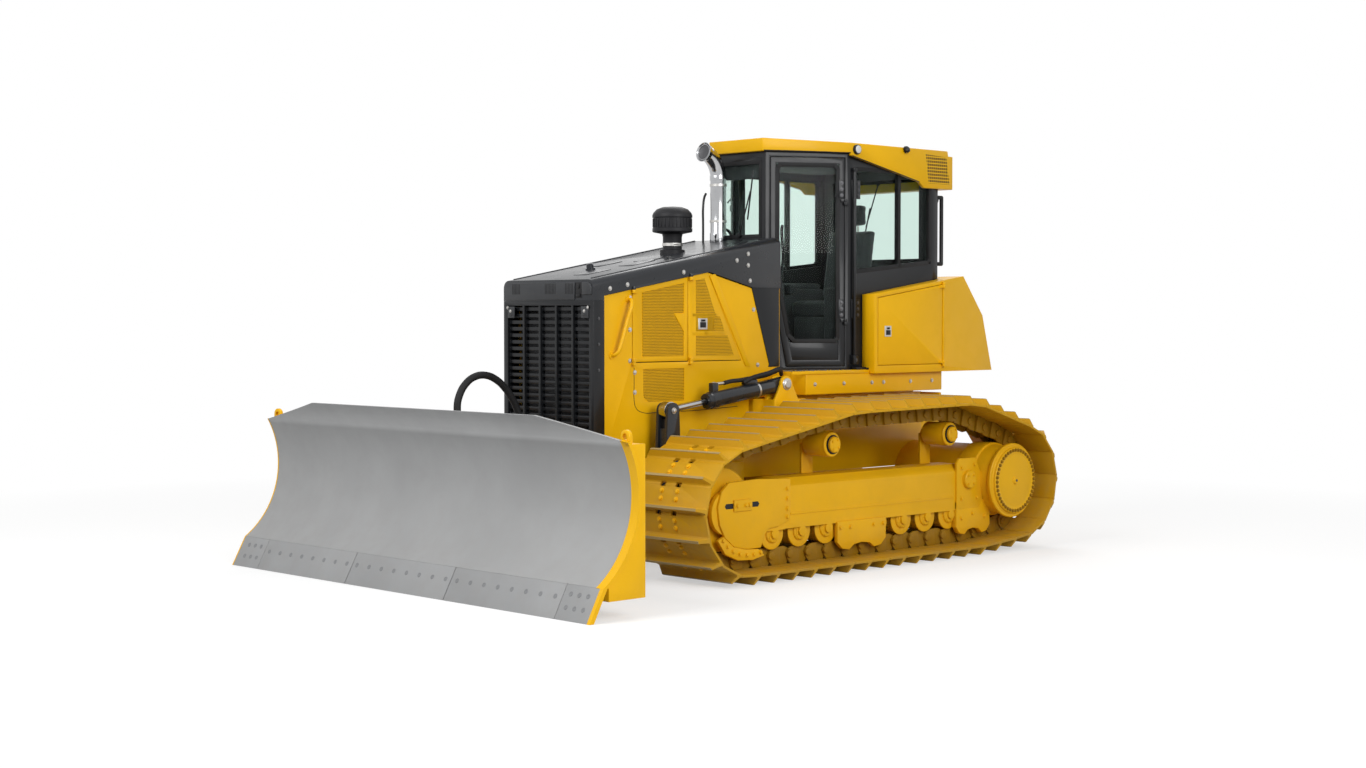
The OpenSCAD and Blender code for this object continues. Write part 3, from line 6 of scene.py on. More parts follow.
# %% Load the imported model
import json
import math
import bpy
from mathutils import Matrix, Vector
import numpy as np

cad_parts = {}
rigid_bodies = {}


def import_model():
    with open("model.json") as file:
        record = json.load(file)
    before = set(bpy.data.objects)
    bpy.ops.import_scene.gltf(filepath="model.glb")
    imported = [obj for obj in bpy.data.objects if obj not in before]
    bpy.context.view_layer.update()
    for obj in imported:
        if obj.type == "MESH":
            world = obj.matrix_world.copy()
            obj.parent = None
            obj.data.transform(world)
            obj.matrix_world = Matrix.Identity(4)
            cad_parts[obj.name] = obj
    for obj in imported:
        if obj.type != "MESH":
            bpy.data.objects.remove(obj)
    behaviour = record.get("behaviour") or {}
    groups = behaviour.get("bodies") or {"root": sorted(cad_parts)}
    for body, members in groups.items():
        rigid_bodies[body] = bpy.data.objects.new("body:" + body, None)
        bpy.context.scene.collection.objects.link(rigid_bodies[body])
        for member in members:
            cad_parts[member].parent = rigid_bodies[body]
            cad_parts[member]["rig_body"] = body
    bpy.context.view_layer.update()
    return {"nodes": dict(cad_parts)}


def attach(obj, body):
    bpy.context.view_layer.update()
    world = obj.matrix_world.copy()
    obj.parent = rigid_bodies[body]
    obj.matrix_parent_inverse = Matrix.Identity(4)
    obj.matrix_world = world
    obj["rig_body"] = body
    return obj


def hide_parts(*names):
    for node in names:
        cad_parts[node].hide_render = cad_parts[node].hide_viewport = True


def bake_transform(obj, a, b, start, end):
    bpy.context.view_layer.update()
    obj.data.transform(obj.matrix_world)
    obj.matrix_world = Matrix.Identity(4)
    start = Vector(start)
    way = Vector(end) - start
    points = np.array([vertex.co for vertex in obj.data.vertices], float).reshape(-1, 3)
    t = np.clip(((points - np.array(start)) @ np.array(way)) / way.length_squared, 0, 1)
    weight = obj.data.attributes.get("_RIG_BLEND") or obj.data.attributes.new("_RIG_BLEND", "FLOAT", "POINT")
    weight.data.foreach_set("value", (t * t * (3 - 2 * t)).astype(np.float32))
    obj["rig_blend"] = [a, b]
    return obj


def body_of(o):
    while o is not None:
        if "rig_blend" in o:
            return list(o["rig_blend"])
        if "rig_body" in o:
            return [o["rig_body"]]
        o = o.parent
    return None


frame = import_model()
nodes = frame["nodes"]
scene = bpy.context.scene
scene.view_settings.view_transform = "Standard"

# %% [markdown]
# The camera comes first. Its place was fitted to the photograph from the even pitch of the track shoes, the blade's
# corners and the roof, so the render can be laid over the photograph.

# %% Camera
EYE = Vector((10.602, 10.867, 1.841))
HEADING = math.radians(45.98)
DIP = math.radians(1.97)
FOCAL_PX = 1994
PHOTO_W = 1366
SENSOR_MM = 36
sight = Vector((-math.cos(HEADING) * math.cos(DIP), -math.sin(HEADING) * math.cos(DIP), -math.sin(DIP)))
bpy.ops.object.camera_add(location=EYE, rotation=sight.to_track_quat("-Z", "Y").to_euler())
camera = bpy.context.object
camera.data.sensor_fit = "HORIZONTAL"
camera.data.sensor_width = SENSOR_MM
camera.data.lens = FOCAL_PX / PHOTO_W * SENSOR_MM
scene.camera = camera
print("lens", round(camera.data.lens, 2))

# %% [markdown]
# A finish is a small graph of shader nodes. The class Wire wraps one socket, so that sums on wires read as plain
# Python, and each sum adds a Math node. The class Finish holds one material and adds any other node by its type,
# its settings and its sockets' values. Patterns read Object coordinates, which are metres in the machine's frame.

# %% Shader helpers
class Wire:
    """A shader socket that can be used in sums."""

    def __init__(self, tree, socket):
        self.tree = tree
        self.socket = socket

    def sum(self, operation, other=0.0):
        node = self.tree.nodes.new("ShaderNodeMath")
        node.operation = operation
        for place, value in zip(node.inputs, (self, other)):
            plug(self.tree, place, value)
        return Wire(self.tree, node.outputs[0])

    def __add__(self, other):
        return self.sum("ADD", other)

    def __sub__(self, other):
        return self.sum("SUBTRACT", other)

    def __mul__(self, other):
        return self.sum("MULTIPLY", other)

    def __lt__(self, other):
        return self.sum("LESS_THAN", other)


def plug(tree, place, value):
    """Links a wire to a socket, or sets the socket's own value."""
    if isinstance(value, Wire):
        tree.links.new(value.socket, place)
    else:
        place.default_value = value


class Finish:
    """One material, built node by node."""

    def __init__(self, name, slot, color=None, rough=None, metal=0.0, coat=0.0, shine=0.22):
        self.material = bpy.data.materials.new(name)
        self.material.use_nodes = True
        self.slot = slot
        self.tree = self.material.node_tree
        self.shader = self.tree.nodes["Principled BSDF"]
        self.set("Metallic", metal)
        self.set("Coat Weight", coat)
        self.set("Coat Roughness", 0.08)
        self.set("Specular IOR Level", shine)
        if rough is not None:
            self.set("Roughness", rough)
        if color:
            self.set("Base Color", (*color, 1))

    def set(self, place, value):
        plug(self.tree, self.shader.inputs[place], value)

    def node(self, kind, settings=None, sockets=None, out=0):
        made = self.tree.nodes.new("ShaderNode" + kind)
        for name, value in (settings or {}).items():
            setattr(made, name, value)
        for place, value in (sockets or {}).items():
            plug(self.tree, made.inputs[place], value)
        return Wire(self.tree, made.outputs[out])

    def place(self):
        return self.node("TexCoord", out="Object")

    def noise(self, scale, detail=3.0, rough=0.55):
        return self.node("TexNoise", {}, {"Vector": self.place(), "Scale": scale, "Detail": detail,
                                          "Roughness": rough})

    def split(self, axis):
        return self.node("SeparateXYZ", {}, {0: self.place()}, out=axis)

    def range(self, wire, low, high, to_low=0.0, to_high=1.0):
        return self.node("MapRange", {}, {0: wire, 1: low, 2: high, 3: to_low, 4: to_high})

    def blend(self, mask, first, second):
        return self.node("Mix", {"data_type": "RGBA"}, {0: mask, 6: first, 7: second}, out=2)

    def bump(self, height, distance, strength=0.3):
        self.set("Normal", self.node("Bump", {}, {"Height": height, "Distance": distance, "Strength": strength}))


def shade(color, share):
    """A colour as four numbers, made lighter or darker."""
    return (*(min(part * share, 1) for part in color), 1)

# %% [markdown]
# Paint on a new machine is even, but never flat: the sprayed coat has a faint orange peel, its colour drifts a little
# from plate to plate, and fine dust settles low down and dulls the gloss. On the shoes and chain this darkening
# towards the ground is made strong and dark, and there it is painted shade as well as dust. Each paint is the same
# recipe with its own colour and gloss.

# %% Paint recipe
def paint(name, slot, color, rough, coat, dust_and_shade=0.0, dust_and_shade_color=(0.42, 0.3, 0.16)):
    """A sprayed coat: slow drift in colour, uneven gloss, orange peel, and a darkening near the ground that is dust
    and, where it is strong, painted shade.
    """
    finish = Finish(name, slot, coat=coat)
    drift = finish.noise(1.7, 2.0)
    cloud = finish.noise(9.0, 4.0, 0.65)
    fleck = finish.noise(140.0, 2.0)
    tone = finish.blend(finish.range(drift, 0.3, 0.7), shade(color, 0.93), shade(color, 1.04))
    tone = finish.blend(finish.range(cloud, 0.45, 0.75, 0, 0.25), tone, shade(color, 0.88))
    gloss = finish.range(cloud, 0.2, 0.8, rough - 0.06, rough + 0.1)
    # Darker towards the ground: dust, and on the shoes and chain painted shade as well.
    if dust_and_shade:
        low = finish.range(finish.split("Z"), 0.9, 0.0) * finish.range(cloud, 0.35, 0.8) * dust_and_shade
        tone = finish.blend(low, tone, (*dust_and_shade_color, 1))
        gloss = gloss + low * 0.4
    finish.set("Roughness", gloss)
    finish.set("Base Color", tone)
    finish.bump(fleck, 0.0004, 0.25)
    return finish

# %% [markdown]
# The yellow is deepest on the panels. Shoes and chain are darker and browner: partly dust, partly painted shade, since
# the chain lies in the shoes' shadow. The cab's charcoal is darker than the hood's, as in the photograph.

# %% Paints
YELLOW = (0.87, 0.475, 0.002)
# Dark brown for the shoes and chain near the ground: dust, and painted shade as well.
SHOE_DUST_AND_SHADE = (0.36, 0.26, 0.12)
CHAIN_DUST_AND_SHADE = (0.2, 0.13, 0.05)
CHARCOAL = (0.017, 0.019, 0.023)
yellow = paint("yellow_enamel", "yellow_paint", YELLOW, 0.38, 0.05)
track_yellow = paint("undercarriage_yellow", "yellow_paint", (0.80, 0.43, 0.003), 0.46, 0.03, dust_and_shade=0.12)
# The shoes' darker yellow is painted shade, with dust.
shoe_yellow_painted_shade = paint("shoe_yellow_painted_shade", "yellow_paint", (0.56, 0.30, 0.006), 0.52, 0.0, dust_and_shade=0.5,
                    dust_and_shade_color=SHOE_DUST_AND_SHADE)
# The chain's much darker yellow is painted shade under the shoes, with dust.
chain_yellow_painted_shade = paint("chain_yellow_painted_shade", "yellow_paint", (0.31, 0.16, 0.004), 0.5, 0.0, dust_and_shade=0.35,
                     dust_and_shade_color=CHAIN_DUST_AND_SHADE)
worn_yellow = paint("worn_yellow", "yellow_paint", (0.40, 0.29, 0.12), 0.5, 0.0)
charcoal = paint("charcoal_enamel", "charcoal_paint", CHARCOAL, 0.28, 0.35)
cab_charcoal = paint("cab_charcoal", "charcoal_paint", shade(CHARCOAL, 0.45)[:3], 0.32, 0.16)
blade_grey = paint("blade_grey", "grey_paint", (0.345, 0.348, 0.35), 0.55, 0.02, dust_and_shade=0.06)
bolt_grey = paint("bolt_grey", "edge_steel", (0.235, 0.24, 0.245), 0.5, 0.02)
edge_grey = paint("edge_grey", "edge_steel", (0.32, 0.325, 0.33), 0.55, 0.02, dust_and_shade=0.06)
nose_grey = paint("nose_grey", "charcoal_paint", (0.042, 0.044, 0.048), 0.42, 0.06)
black = paint("black_enamel", "black_paint", (0.007, 0.007, 0.008), 0.42, 0.08)
print("paints", len(bpy.data.materials))

# %% [markdown]
# Bare and plated metals, rubber, plastic and glass need other recipes: chrome keeps a very low roughness with faint
# polishing streaks, rubber is dull with a fine grain, and the cab's glass lets light through with a green tint.

# %% Recipes for metal, rubber, plastic and glass
def metal(name, slot, color, rough, streak):
    """Bare metal with a slightly uneven polish along one direction."""
    finish = Finish(name, slot, metal=1.0)
    stretch = finish.node("Mapping", {}, {"Vector": finish.place(), "Scale": (4.0, 60.0, 60.0)})
    grain = finish.node("TexNoise", {}, {"Vector": stretch, "Scale": 3.0, "Detail": 4.0})
    cloud = finish.noise(6.0)
    finish.set("Base Color", finish.blend(finish.range(cloud, 0.3, 0.7), shade(color, 0.92), shade(color, 1.05)))
    finish.set("Roughness", finish.range(grain, 0.25, 0.75, rough, rough + streak))
    return finish


def grained(name, slot, color, rough, scale, depth):
    """Rubber or moulded plastic: a dull surface with a fine grain."""
    finish = Finish(name, slot)
    grain = finish.noise(scale, 4.0, 0.7)
    cloud = finish.noise(7.0)
    finish.set("Base Color", finish.blend(finish.range(cloud, 0.3, 0.7), shade(color, 0.8), shade(color, 1.2)))
    finish.set("Roughness", finish.range(grain, 0.3, 0.7, rough - 0.08, rough + 0.08))
    finish.bump(grain, depth, 0.35)
    return finish


def clear(name, slot, color, rough):
    """Tinted glass with faint smears."""
    finish = Finish(name, slot, color, shine=0.5)
    finish.set("Transmission Weight", 1.0)
    finish.set("IOR", 1.12)
    smear = finish.noise(5.0, 5.0)
    finish.set("Roughness", finish.range(smear, 0.4, 0.8, rough, rough + 0.03))
    return finish

# %% Metals, rubber, plastic and glass
chrome = metal("chrome", "chrome", (0.46, 0.465, 0.475), 0.08, 0.08)
bolt_steel = metal("zinc_steel", "edge_steel", (0.52, 0.51, 0.49), 0.3, 0.15)
dark_steel = metal("dark_steel", "cast_iron", (0.1, 0.1, 0.105), 0.42, 0.2)
rubber = grained("hose_rubber", "hose_rubber", (0.014, 0.014, 0.015), 0.62, 260.0, 0.0006)
plastic = grained("moulded_plastic", "black_plastic", (0.016, 0.016, 0.018), 0.5, 420.0, 0.0003)
trim = grained("cab_trim", "black_plastic", (0.05, 0.05, 0.054), 0.6, 300.0, 0.0004)
glass = clear("tinted_glass", "glass", (0.8, 0.9, 0.86), 0.0)
lens = paint("lamp_glass", "lamp_lens", (0.74, 0.75, 0.73), 0.16, 0.6)
print("finishes", len(bpy.data.materials))

# %% [markdown]
# Modelling goes as it would by hand. A primitive is added at its size, its edges are bevelled in edit mode, and
# parts that belong together are joined into one piece, given a finish, and set to ride on the body that carries
# it. Everything is deselected first, because operators act on all that is selected.

# %% Modelling helpers
BEVEL_STEPS = 2


def fresh():
    """Leaves nothing selected, so the next operator acts on the new part alone."""
    bpy.ops.object.select_all(action="DESELECT")


def pick(part):
    fresh()
    part.select_set(True)
    bpy.context.view_layer.objects.active = part


def edit(select="SELECT"):
    bpy.ops.object.mode_set(mode="EDIT")
    bpy.ops.mesh.select_all(action=select)


def leave():
    bpy.ops.object.mode_set(mode="OBJECT")


def settle():
    """Moves the new part's place, turn and size into its mesh."""
    bpy.ops.object.transform_apply(location=True, rotation=True, scale=True)
    return bpy.context.object


def round_edges(edge, sharp=30):
    """Bevels the active part's sharp edges."""
    edit("DESELECT")
    bpy.ops.mesh.select_mode(type="EDGE")
    bpy.ops.mesh.edges_select_sharp(sharpness=math.radians(sharp))
    bpy.ops.mesh.bevel(offset=edge, segments=BEVEL_STEPS, affect="EDGES", clamp_overlap=True)
    leave()
    return bpy.context.object


def block(low, high, edge=0.004):
    """A box between two corners, with rounded edges."""
    fresh()
    low, high = Vector(low), Vector(high)
    bpy.ops.mesh.primitive_cube_add(size=1, location=(low + high) / 2)
    bpy.context.object.scale = high - low
    settle()
    return round_edges(edge) if edge else bpy.context.object


def flat_to_space(plane, a, b, depth):
    """A point of a drawing on the plane across X, Y or Z."""
    return {"x": (depth, a, b), "y": (a, depth, b), "z": (a, b, depth)}[plane]


def slab(outline, plane, low, high, edge=0.003):
    """A plate: an outline drawn across an axis, extruded from low to high along it."""
    fresh()
    bpy.ops.mesh.primitive_circle_add(vertices=len(outline), fill_type="NGON")
    part = bpy.context.object
    for corner, (a, b) in zip(part.data.vertices, outline):
        corner.co = flat_to_space(plane, a, b, low)
    edit()
    bpy.ops.mesh.extrude_region_move(TRANSFORM_OT_translate={"value": flat_to_space(plane, 0, 0, high - low)})
    bpy.ops.mesh.select_all(action="SELECT")
    bpy.ops.mesh.normals_make_consistent(inside=False)
    leave()
    return round_edges(edge) if edge else part


def rod(a, b, r, sides=20, edge=0.002):
    """A round bar between two points, with rounded rims."""
    fresh()
    a, b = Vector(a), Vector(b)
    bpy.ops.mesh.primitive_cylinder_add(vertices=sides, radius=r, depth=(b - a).length, location=(a + b) / 2,
                                        rotation=(b - a).to_track_quat("Z", "Y").to_euler())
    settle()
    return round_edges(edge, 50) if edge else bpy.context.object


def turned(profile, foot, axis, steps=40):
    """A turned part: a profile of radius and height, spun about an axis through its foot."""
    fresh()
    bpy.ops.mesh.primitive_circle_add(vertices=len(profile), fill_type="NOTHING")
    part = bpy.context.object
    for corner, (r, h) in zip(part.data.vertices, profile):
        corner.co = (r, 0, h)
    edit()
    bpy.ops.mesh.spin(steps=steps, angle=math.tau, center=(0, 0, 0), axis=(0, 0, 1))
    bpy.ops.mesh.select_all(action="SELECT")
    bpy.ops.mesh.remove_doubles(threshold=0.00005)
    bpy.ops.mesh.dissolve_degenerate(threshold=0.00005)
    bpy.ops.mesh.normals_make_consistent(inside=False)
    leave()
    part.rotation_euler = Vector(axis).to_track_quat("Z", "Y").to_euler()
    part.location = foot
    return settle()


def pipe(points, r, sides=3, smooth=6):
    """A tube along a smooth curve through the points."""
    fresh()
    bpy.ops.curve.primitive_bezier_curve_add()
    curve = bpy.context.object.data
    curve.splines.clear()
    run = curve.splines.new("BEZIER")
    run.bezier_points.add(len(points) - 1)
    for knot, point in zip(run.bezier_points, points):
        knot.co = point
        knot.handle_left_type = knot.handle_right_type = "AUTO"
    curve.dimensions = "3D"
    curve.resolution_u = smooth
    curve.bevel_depth = r
    curve.bevel_resolution = sides
    curve.use_fill_caps = True
    bpy.ops.object.convert(target="MESH")
    return settle()

# %% [markdown]
# A shape that repeats is modelled once and copied, each copy with its own mesh. The machine's two sides are mirror
# images, so most parts are drawn on the left. Joined parts become a piece, with a finish and a body to ride on.

# %% Copies and pieces
OUT = (0, 1, 0)
SIDES = ("left", "right")


def twin_of(part):
    """A copy of a part with its own mesh."""
    twin = part.copy()
    twin.data = part.data.copy()
    bpy.context.collection.objects.link(twin)
    return twin


def copies(part, moves):
    """Copies of a part, one for each move; the pattern part is removed."""
    made = []
    for move in moves:
        twin = twin_of(part)
        twin.data.transform(move)
        made.append(twin)
    bpy.data.objects.remove(part)
    return made


def to_right(parts):
    """Moves left parts to the machine's right."""
    for part in parts:
        part.data.transform(Matrix.Scale(-1, 4, OUT))
        part.data.flip_normals()
    return parts


def joined(parts):
    """Several parts made one."""
    fresh()
    for part in parts:
        part.select_set(True)
    bpy.context.view_layer.objects.active = parts[0]
    if len(parts) > 1:
        bpy.ops.object.join()
    return parts[0]


def piece(name, parts, finish, body="tractor", smooth=35):
    """Joins parts into one finished piece that rides on a body."""
    made = joined(parts)
    made.name = made.data.name = name
    made.data.materials.clear()
    made.data.materials.append(finish.material)
    bpy.ops.object.shade_smooth_by_angle(angle=math.radians(smooth))
    if body:
        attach(made, body)
    return made


def both(name, parts, finish, body="tractor"):
    """A piece made of left parts and their mirror twins."""
    return piece(name, parts + to_right([twin_of(part) for part in parts]), finish, body)


def each_side(title, make, finish, body):
    """Two pieces: the left one on the left body, and its mirror twin on the right body."""
    for side in SIDES:
        parts = make()
        piece("%s_%s" % (title, side), parts if side == "left" else to_right(parts), finish, body % side)


def set_on(part, places, normal):
    """Copies of a part that stands on the origin, turned to a normal at each place."""
    turn = Vector(normal).to_track_quat("Z", "Y").to_matrix().to_4x4()
    return copies(part, [Matrix.Translation(place) @ turn for place in places])


def bolts(places, normal, r, h):
    """Bolt heads at the places: a hexagon on its washer."""
    head = rod((0, 0, 0), (0, 0, h), r, 6, r * 0.12)
    washer = rod((0, 0, 0), (0, 0, h * 0.25), r * 1.35, 12, 0)
    return set_on(joined([head, washer]), places, normal)


def solid_copy(node):
    """A free copy of a solid with its corners welded, left open for editing."""
    twin = twin_of(nodes[node])
    twin.parent = None
    twin.matrix_world = Matrix.Identity(4)
    twin.hide_viewport = twin.hide_render = False
    twin.hide_set(False)
    pick(twin)
    edit()
    bpy.ops.mesh.remove_doubles(threshold=0.00002)
    return twin


def softened(node, finish, edge, smooth=35):
    """A copy of a solid with rounded edges, which stands for it."""
    body = body_of(nodes[node])
    twin = solid_copy(node)
    bpy.ops.mesh.dissolve_limited(angle_limit=math.radians(1))
    leave()
    soft = twin.modifiers.new("edges", "BEVEL")
    soft.width = edge
    soft.segments = BEVEL_STEPS
    soft.limit_method = "ANGLE"
    soft.angle_limit = math.radians(32)
    bpy.ops.object.modifier_apply(modifier=soft.name)
    made = piece(node + "_body", [twin], finish, body if isinstance(body, str) else body[0], smooth)
    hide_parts(node)
    return made

# %% [markdown]
# The hose bundle is a free length of hose, so it is settled before the rest. It leaves a bracket under the
# radiator guard, arches in front of the grille, and goes down to the push frame's fork. Its points are the same as
# the solid's. It bends between the two bodies when the blade lifts.

# %% Hose bundle
HOSE_ROUTE_MM = [
    (1490, -200, 801), (1491, -200, 860), (1495, -200, 930), (1505, -199, 1005), (1525, -198, 1085),
    (1558, -196, 1165), (1605, -193, 1245), (1670, -190, 1320), (1755, -186, 1385), (1855, -182, 1420),
    (1955, -178, 1412), (2040, -175, 1362), (2095, -173, 1285), (2115, -172, 1200), (2100, -170, 1115),
    (2060, -167, 1040), (2005, -163, 975), (1945, -158, 910), (1885, -153, 840), (1835, -148, 765),
    (1800, -144, 690), (1788, -141, 645), (1786, -140, 612)]
HOSE_R = 0.026
hose_route = [Vector(point) / 1000 for point in HOSE_ROUTE_MM]
bundle = piece("hose_bundle", [pipe(hose_route, HOSE_R, 5, 5)], rubber, None)
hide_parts("hose")
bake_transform(bundle, "tractor", "push_frame", start=tuple(hose_route[0]), end=tuple(hose_route[-1]))

# %% [markdown]
# The floor and the world give the white studio of the photograph. White comes from what the camera, reflections and
# glass see of them, and the lamps stay at a plain level, at which a colour renders about as it is written. The floor
# glows at half strength for those rays alone and takes the other half from the lamps, so it still shows the shadow.
# Further out, where the lamps don't reach, the glow takes over, so floor and sky meet without a line.

# %% Floor and world
WORLD_LIGHT = 0.42
FLOOR_GLOW = 0.52
fresh()
bpy.ops.mesh.primitive_plane_add(size=90, location=(0, 0, -0.001))
floor = bpy.context.object
floor.name = "studio_floor"
pale = Finish("studio_floor", "", rough=0.9)
seen = pale.node("LightPath", out="Is Camera Ray") + pale.node("LightPath", out="Is Glossy Ray")
away = pale.range(pale.node("VectorMath", {"operation": "LENGTH"}, {0: pale.place()}, out="Value"), 4.0, 9.0)
pale.set("Base Color", pale.blend(away, (0.5, 0.5, 0.5, 1), (0, 0, 0, 1)))
pale.set("Specular IOR Level", 0.0)
glow = pale.blend(away, (FLOOR_GLOW, FLOOR_GLOW, FLOOR_GLOW, 1), (1, 1, 1, 1))
pale.set("Emission Color", pale.blend(seen, (0, 0, 0, 1), glow))
pale.set("Emission Strength", 1.0)
floor.data.materials.append(pale.material)

world = bpy.data.worlds.new("studio")
scene.world = world
world.use_nodes = True
sky = world.node_tree.nodes["Background"]
sky.inputs["Color"].default_value = (1, 1, 1, 1)
path = world.node_tree.nodes.new("ShaderNodeLightPath")
shown = Wire(world.node_tree, path.outputs["Is Camera Ray"]) + Wire(world.node_tree, path.outputs["Is Glossy Ray"])
shown = shown + Wire(world.node_tree, path.outputs["Is Transmission Ray"])
plug(world.node_tree, sky.inputs["Strength"], shown.sum("MINIMUM", 1.0) * (1 - WORLD_LIGHT) + WORLD_LIGHT)
print("floor and world set")

# %% [markdown]
# Three large soft lamps stand round the machine, as in a photo studio: a key lamp high in front, a fill lamp on the
# machine's left where the camera is, and a weaker one behind for the roof and hood.

# %% Lamps
def lamp(name, place, watts, size):
    """A square soft lamp that faces the machine."""
    aim = Vector((0, 0, 1.2)) - Vector(place)
    bpy.ops.object.light_add(type="AREA", location=place, rotation=aim.to_track_quat("-Z", "Y").to_euler())
    made = bpy.context.object
    made.name = name
    made.data.energy = watts
    made.data.size = size


lamp("key", (10.0, 0.0, 8.0), 760, 6)
lamp("fill", (2.5, 11.0, 5.5), 690, 6)
lamp("back", (-6.0, -4.0, 9.0), 360, 6)

# %% [markdown]
# Most solids already have the right form. Steel plate never ends in a knife edge, so each gets a copy with welded
# corners and a small bevel, and its finish: yellow for the tractor, charcoal for hood, cab and push frame, grey for
# the blade, chrome for what slides or gets hot. The table gives the finish, the bevel and the solids that share them.

# %% Dressed solids
DRESS = [
    (yellow, 0.004, [door % side for side in SIDES
                     for door in ("engine_door_%s_front", "engine_door_%s_rear", "tank_door_%s")]),
    (yellow, 0.006, ["main_frame", "platform", "cab_roof", "rear_tank", "side_panels", "drawbar", "equalizer_bar"]),
    (yellow, 0.005, ["blade_frame"]),
    (track_yellow, 0.008, ["track_frame_left", "track_frame_right"]),
    (track_yellow, 0.006, ["final_drives", "idlers", "bottom_rollers", "carrier_rollers"]),
    (charcoal, 0.006, ["hood", "push_frame", "trunnion"]),
    (charcoal, 0.004, ["lift_barrel_left", "lift_barrel_right", "angle_barrel_left", "angle_barrel_right",
                       "tilt_barrel"]),
    (cab_charcoal, 0.006, ["cab_frame", "cab_door_left", "cab_door_right"]),
    (cab_charcoal, 0.003, ["radiator_guard"]),
    (chrome, 0.003, ["lift_rod_left", "lift_rod_right", "angle_rod_left", "angle_rod_right", "tilt_rod"]),
    (dark_steel, 0.01, ["engine_block"]),
    (dark_steel, 0.003, ["radiator"]),
    (blade_grey, 0.004, ["moldboard"]),
    (edge_grey, 0.004, ["cutting_edge"]),
    (trim, 0.02, ["consoles"]),
    (plastic, 0.006, ["lamps"])]
for finish, edge, solids in DRESS:
    for node in solids:
        softened(node, finish, edge)
softened("exhaust_stack", chrome, 0.002, 45)
softened("handrails", black, 0.002, 60)
for node in ("cab_glass", "door_glass_left", "door_glass_right"):
    nodes[node].data.materials.clear()
    nodes[node].data.materials.append(glass.material)

# %% [markdown]
# A track is a chain of steel links with one wide shoe bolted on each link. The chain runs round the idler, over two
# carrier rollers, round the sprocket and back below the bottom rollers. The loop is a row of arcs and straight runs
# between five circles, the same as the solid's, so a point at any distance along it is easy to work out.

# %% Track loop
SHOE_PITCH = 0.192
LINK_H = 0.125
TRACK_Y = 1.119
IDLER = Vector((0.9, 0.5027))
SPROCKET = Vector((-2.17, 0.5427))
WHEEL_LOOP_R = math.hypot(0.290 + 0.0008 + LINK_H, SHOE_PITCH / 2)
CARRIERS = [Vector((-0.211, 0.905)), Vector((-1.577, 0.925))]
CARRIER_LOOP_R = 0.090 + LINK_H + 0.018
LOOP = [(Vector((-1.69, 0.3068)), 0.105 + 0.0008 + LINK_H), (IDLER, WHEEL_LOOP_R), (CARRIERS[0], CARRIER_LOOP_R),
        (CARRIERS[1], CARRIER_LOOP_R), (SPROCKET, WHEEL_LOOP_R)]


def ring_item(i):
    return LOOP[i % len(LOOP)]


def run_normal(i):
    """Direction of the outward normal on the straight run after circle i."""
    (a, ra), (b, rb) = ring_item(i), ring_item(i + 1)
    way = b - a
    return math.atan2(way.y, way.x) - math.acos((ra - rb) / way.length)


def heading(angle):
    return Vector((math.cos(angle), math.sin(angle)))


loop_runs = []
for i, (hub, r) in enumerate(LOOP):
    turn = (run_normal(i) - run_normal(i - 1)) % math.tau
    ahead, r_ahead = ring_item(i + 1)
    loop_runs.append(("arc", i, r * turn))
    loop_runs.append(("run", i, math.sqrt((ahead - hub).length_squared - (r - r_ahead) ** 2)))
loop_length = sum(length for kind, i, length in loop_runs)
shoe_count = round(loop_length / SHOE_PITCH)
shoe_step = loop_length / shoe_count


def loop_point(distance):
    """A point of the loop at a distance along it."""
    past = distance % loop_length
    for kind, i, length in loop_runs:
        if past < length:
            hub, r = LOOP[i]
            if kind == "arc":
                return hub + r * heading(run_normal(i - 1) + past / r)
            return hub + r * heading(run_normal(i)) + past * heading(run_normal(i) + math.pi / 2)
        past -= length
    return loop_point(0)


def shoe_frame(k, side):
    """Where shoe k's own axes lie: X along the chain, Y across it, Z outwards."""
    a, b = loop_point(k * shoe_step), loop_point((k + 1) * shoe_step)
    along = (b - a).normalized()
    return Matrix(((along.x, 0, along.y, a.x), (0, -1, 0, side * TRACK_Y), (along.y, 0, -along.x, a.y), (0, 0, 0, 1)))


print("shoes", shoe_count, "pitch", round(shoe_step, 4))

# %% [markdown]
# One shoe is rolled steel: its section, with the tall grouser and the curled lip, is drawn once and extruded to the
# shoe's width. The grouser's ends are cut back, and notches over the links let mud out.

# %% Shoe
SHOE_W = 0.762
GROUSER_CUT = 0.045
BOLT_Y = 0.075
NOTCH_HALF = 0.026
NOTCHES_X = ((-0.02, 0.018), (0.182, 0.21))
SHOE_SECTION = [(0, 0), (0.186, 0), (0.196, 0.008), (0.196, 0.016), (0.184, 0.0155), (0.055, 0.016), (0.046, 0.024),
                (0.0425, 0.076), (0.0250, 0.076), (0.0200, 0.026), (0.010, 0.016), (-0.006, 0.016), (-0.006, 0.006)]


def cut(part, tool):
    """Cuts the tool's volume out of the part."""
    pick(part)
    knife = part.modifiers.new("cut", "BOOLEAN")
    knife.operation = "DIFFERENCE"
    knife.solver = "EXACT"
    knife.object = tool
    bpy.ops.object.modifier_apply(modifier=knife.name)
    bpy.data.objects.remove(tool)
    return part


def tapered(part):
    """Pulls the ends of a part's upper half in, as a flame cut does."""
    for corner in part.data.vertices:
        if corner.co.z > 0.05:
            corner.co.y -= math.copysign(GROUSER_CUT, corner.co.y)
    return part


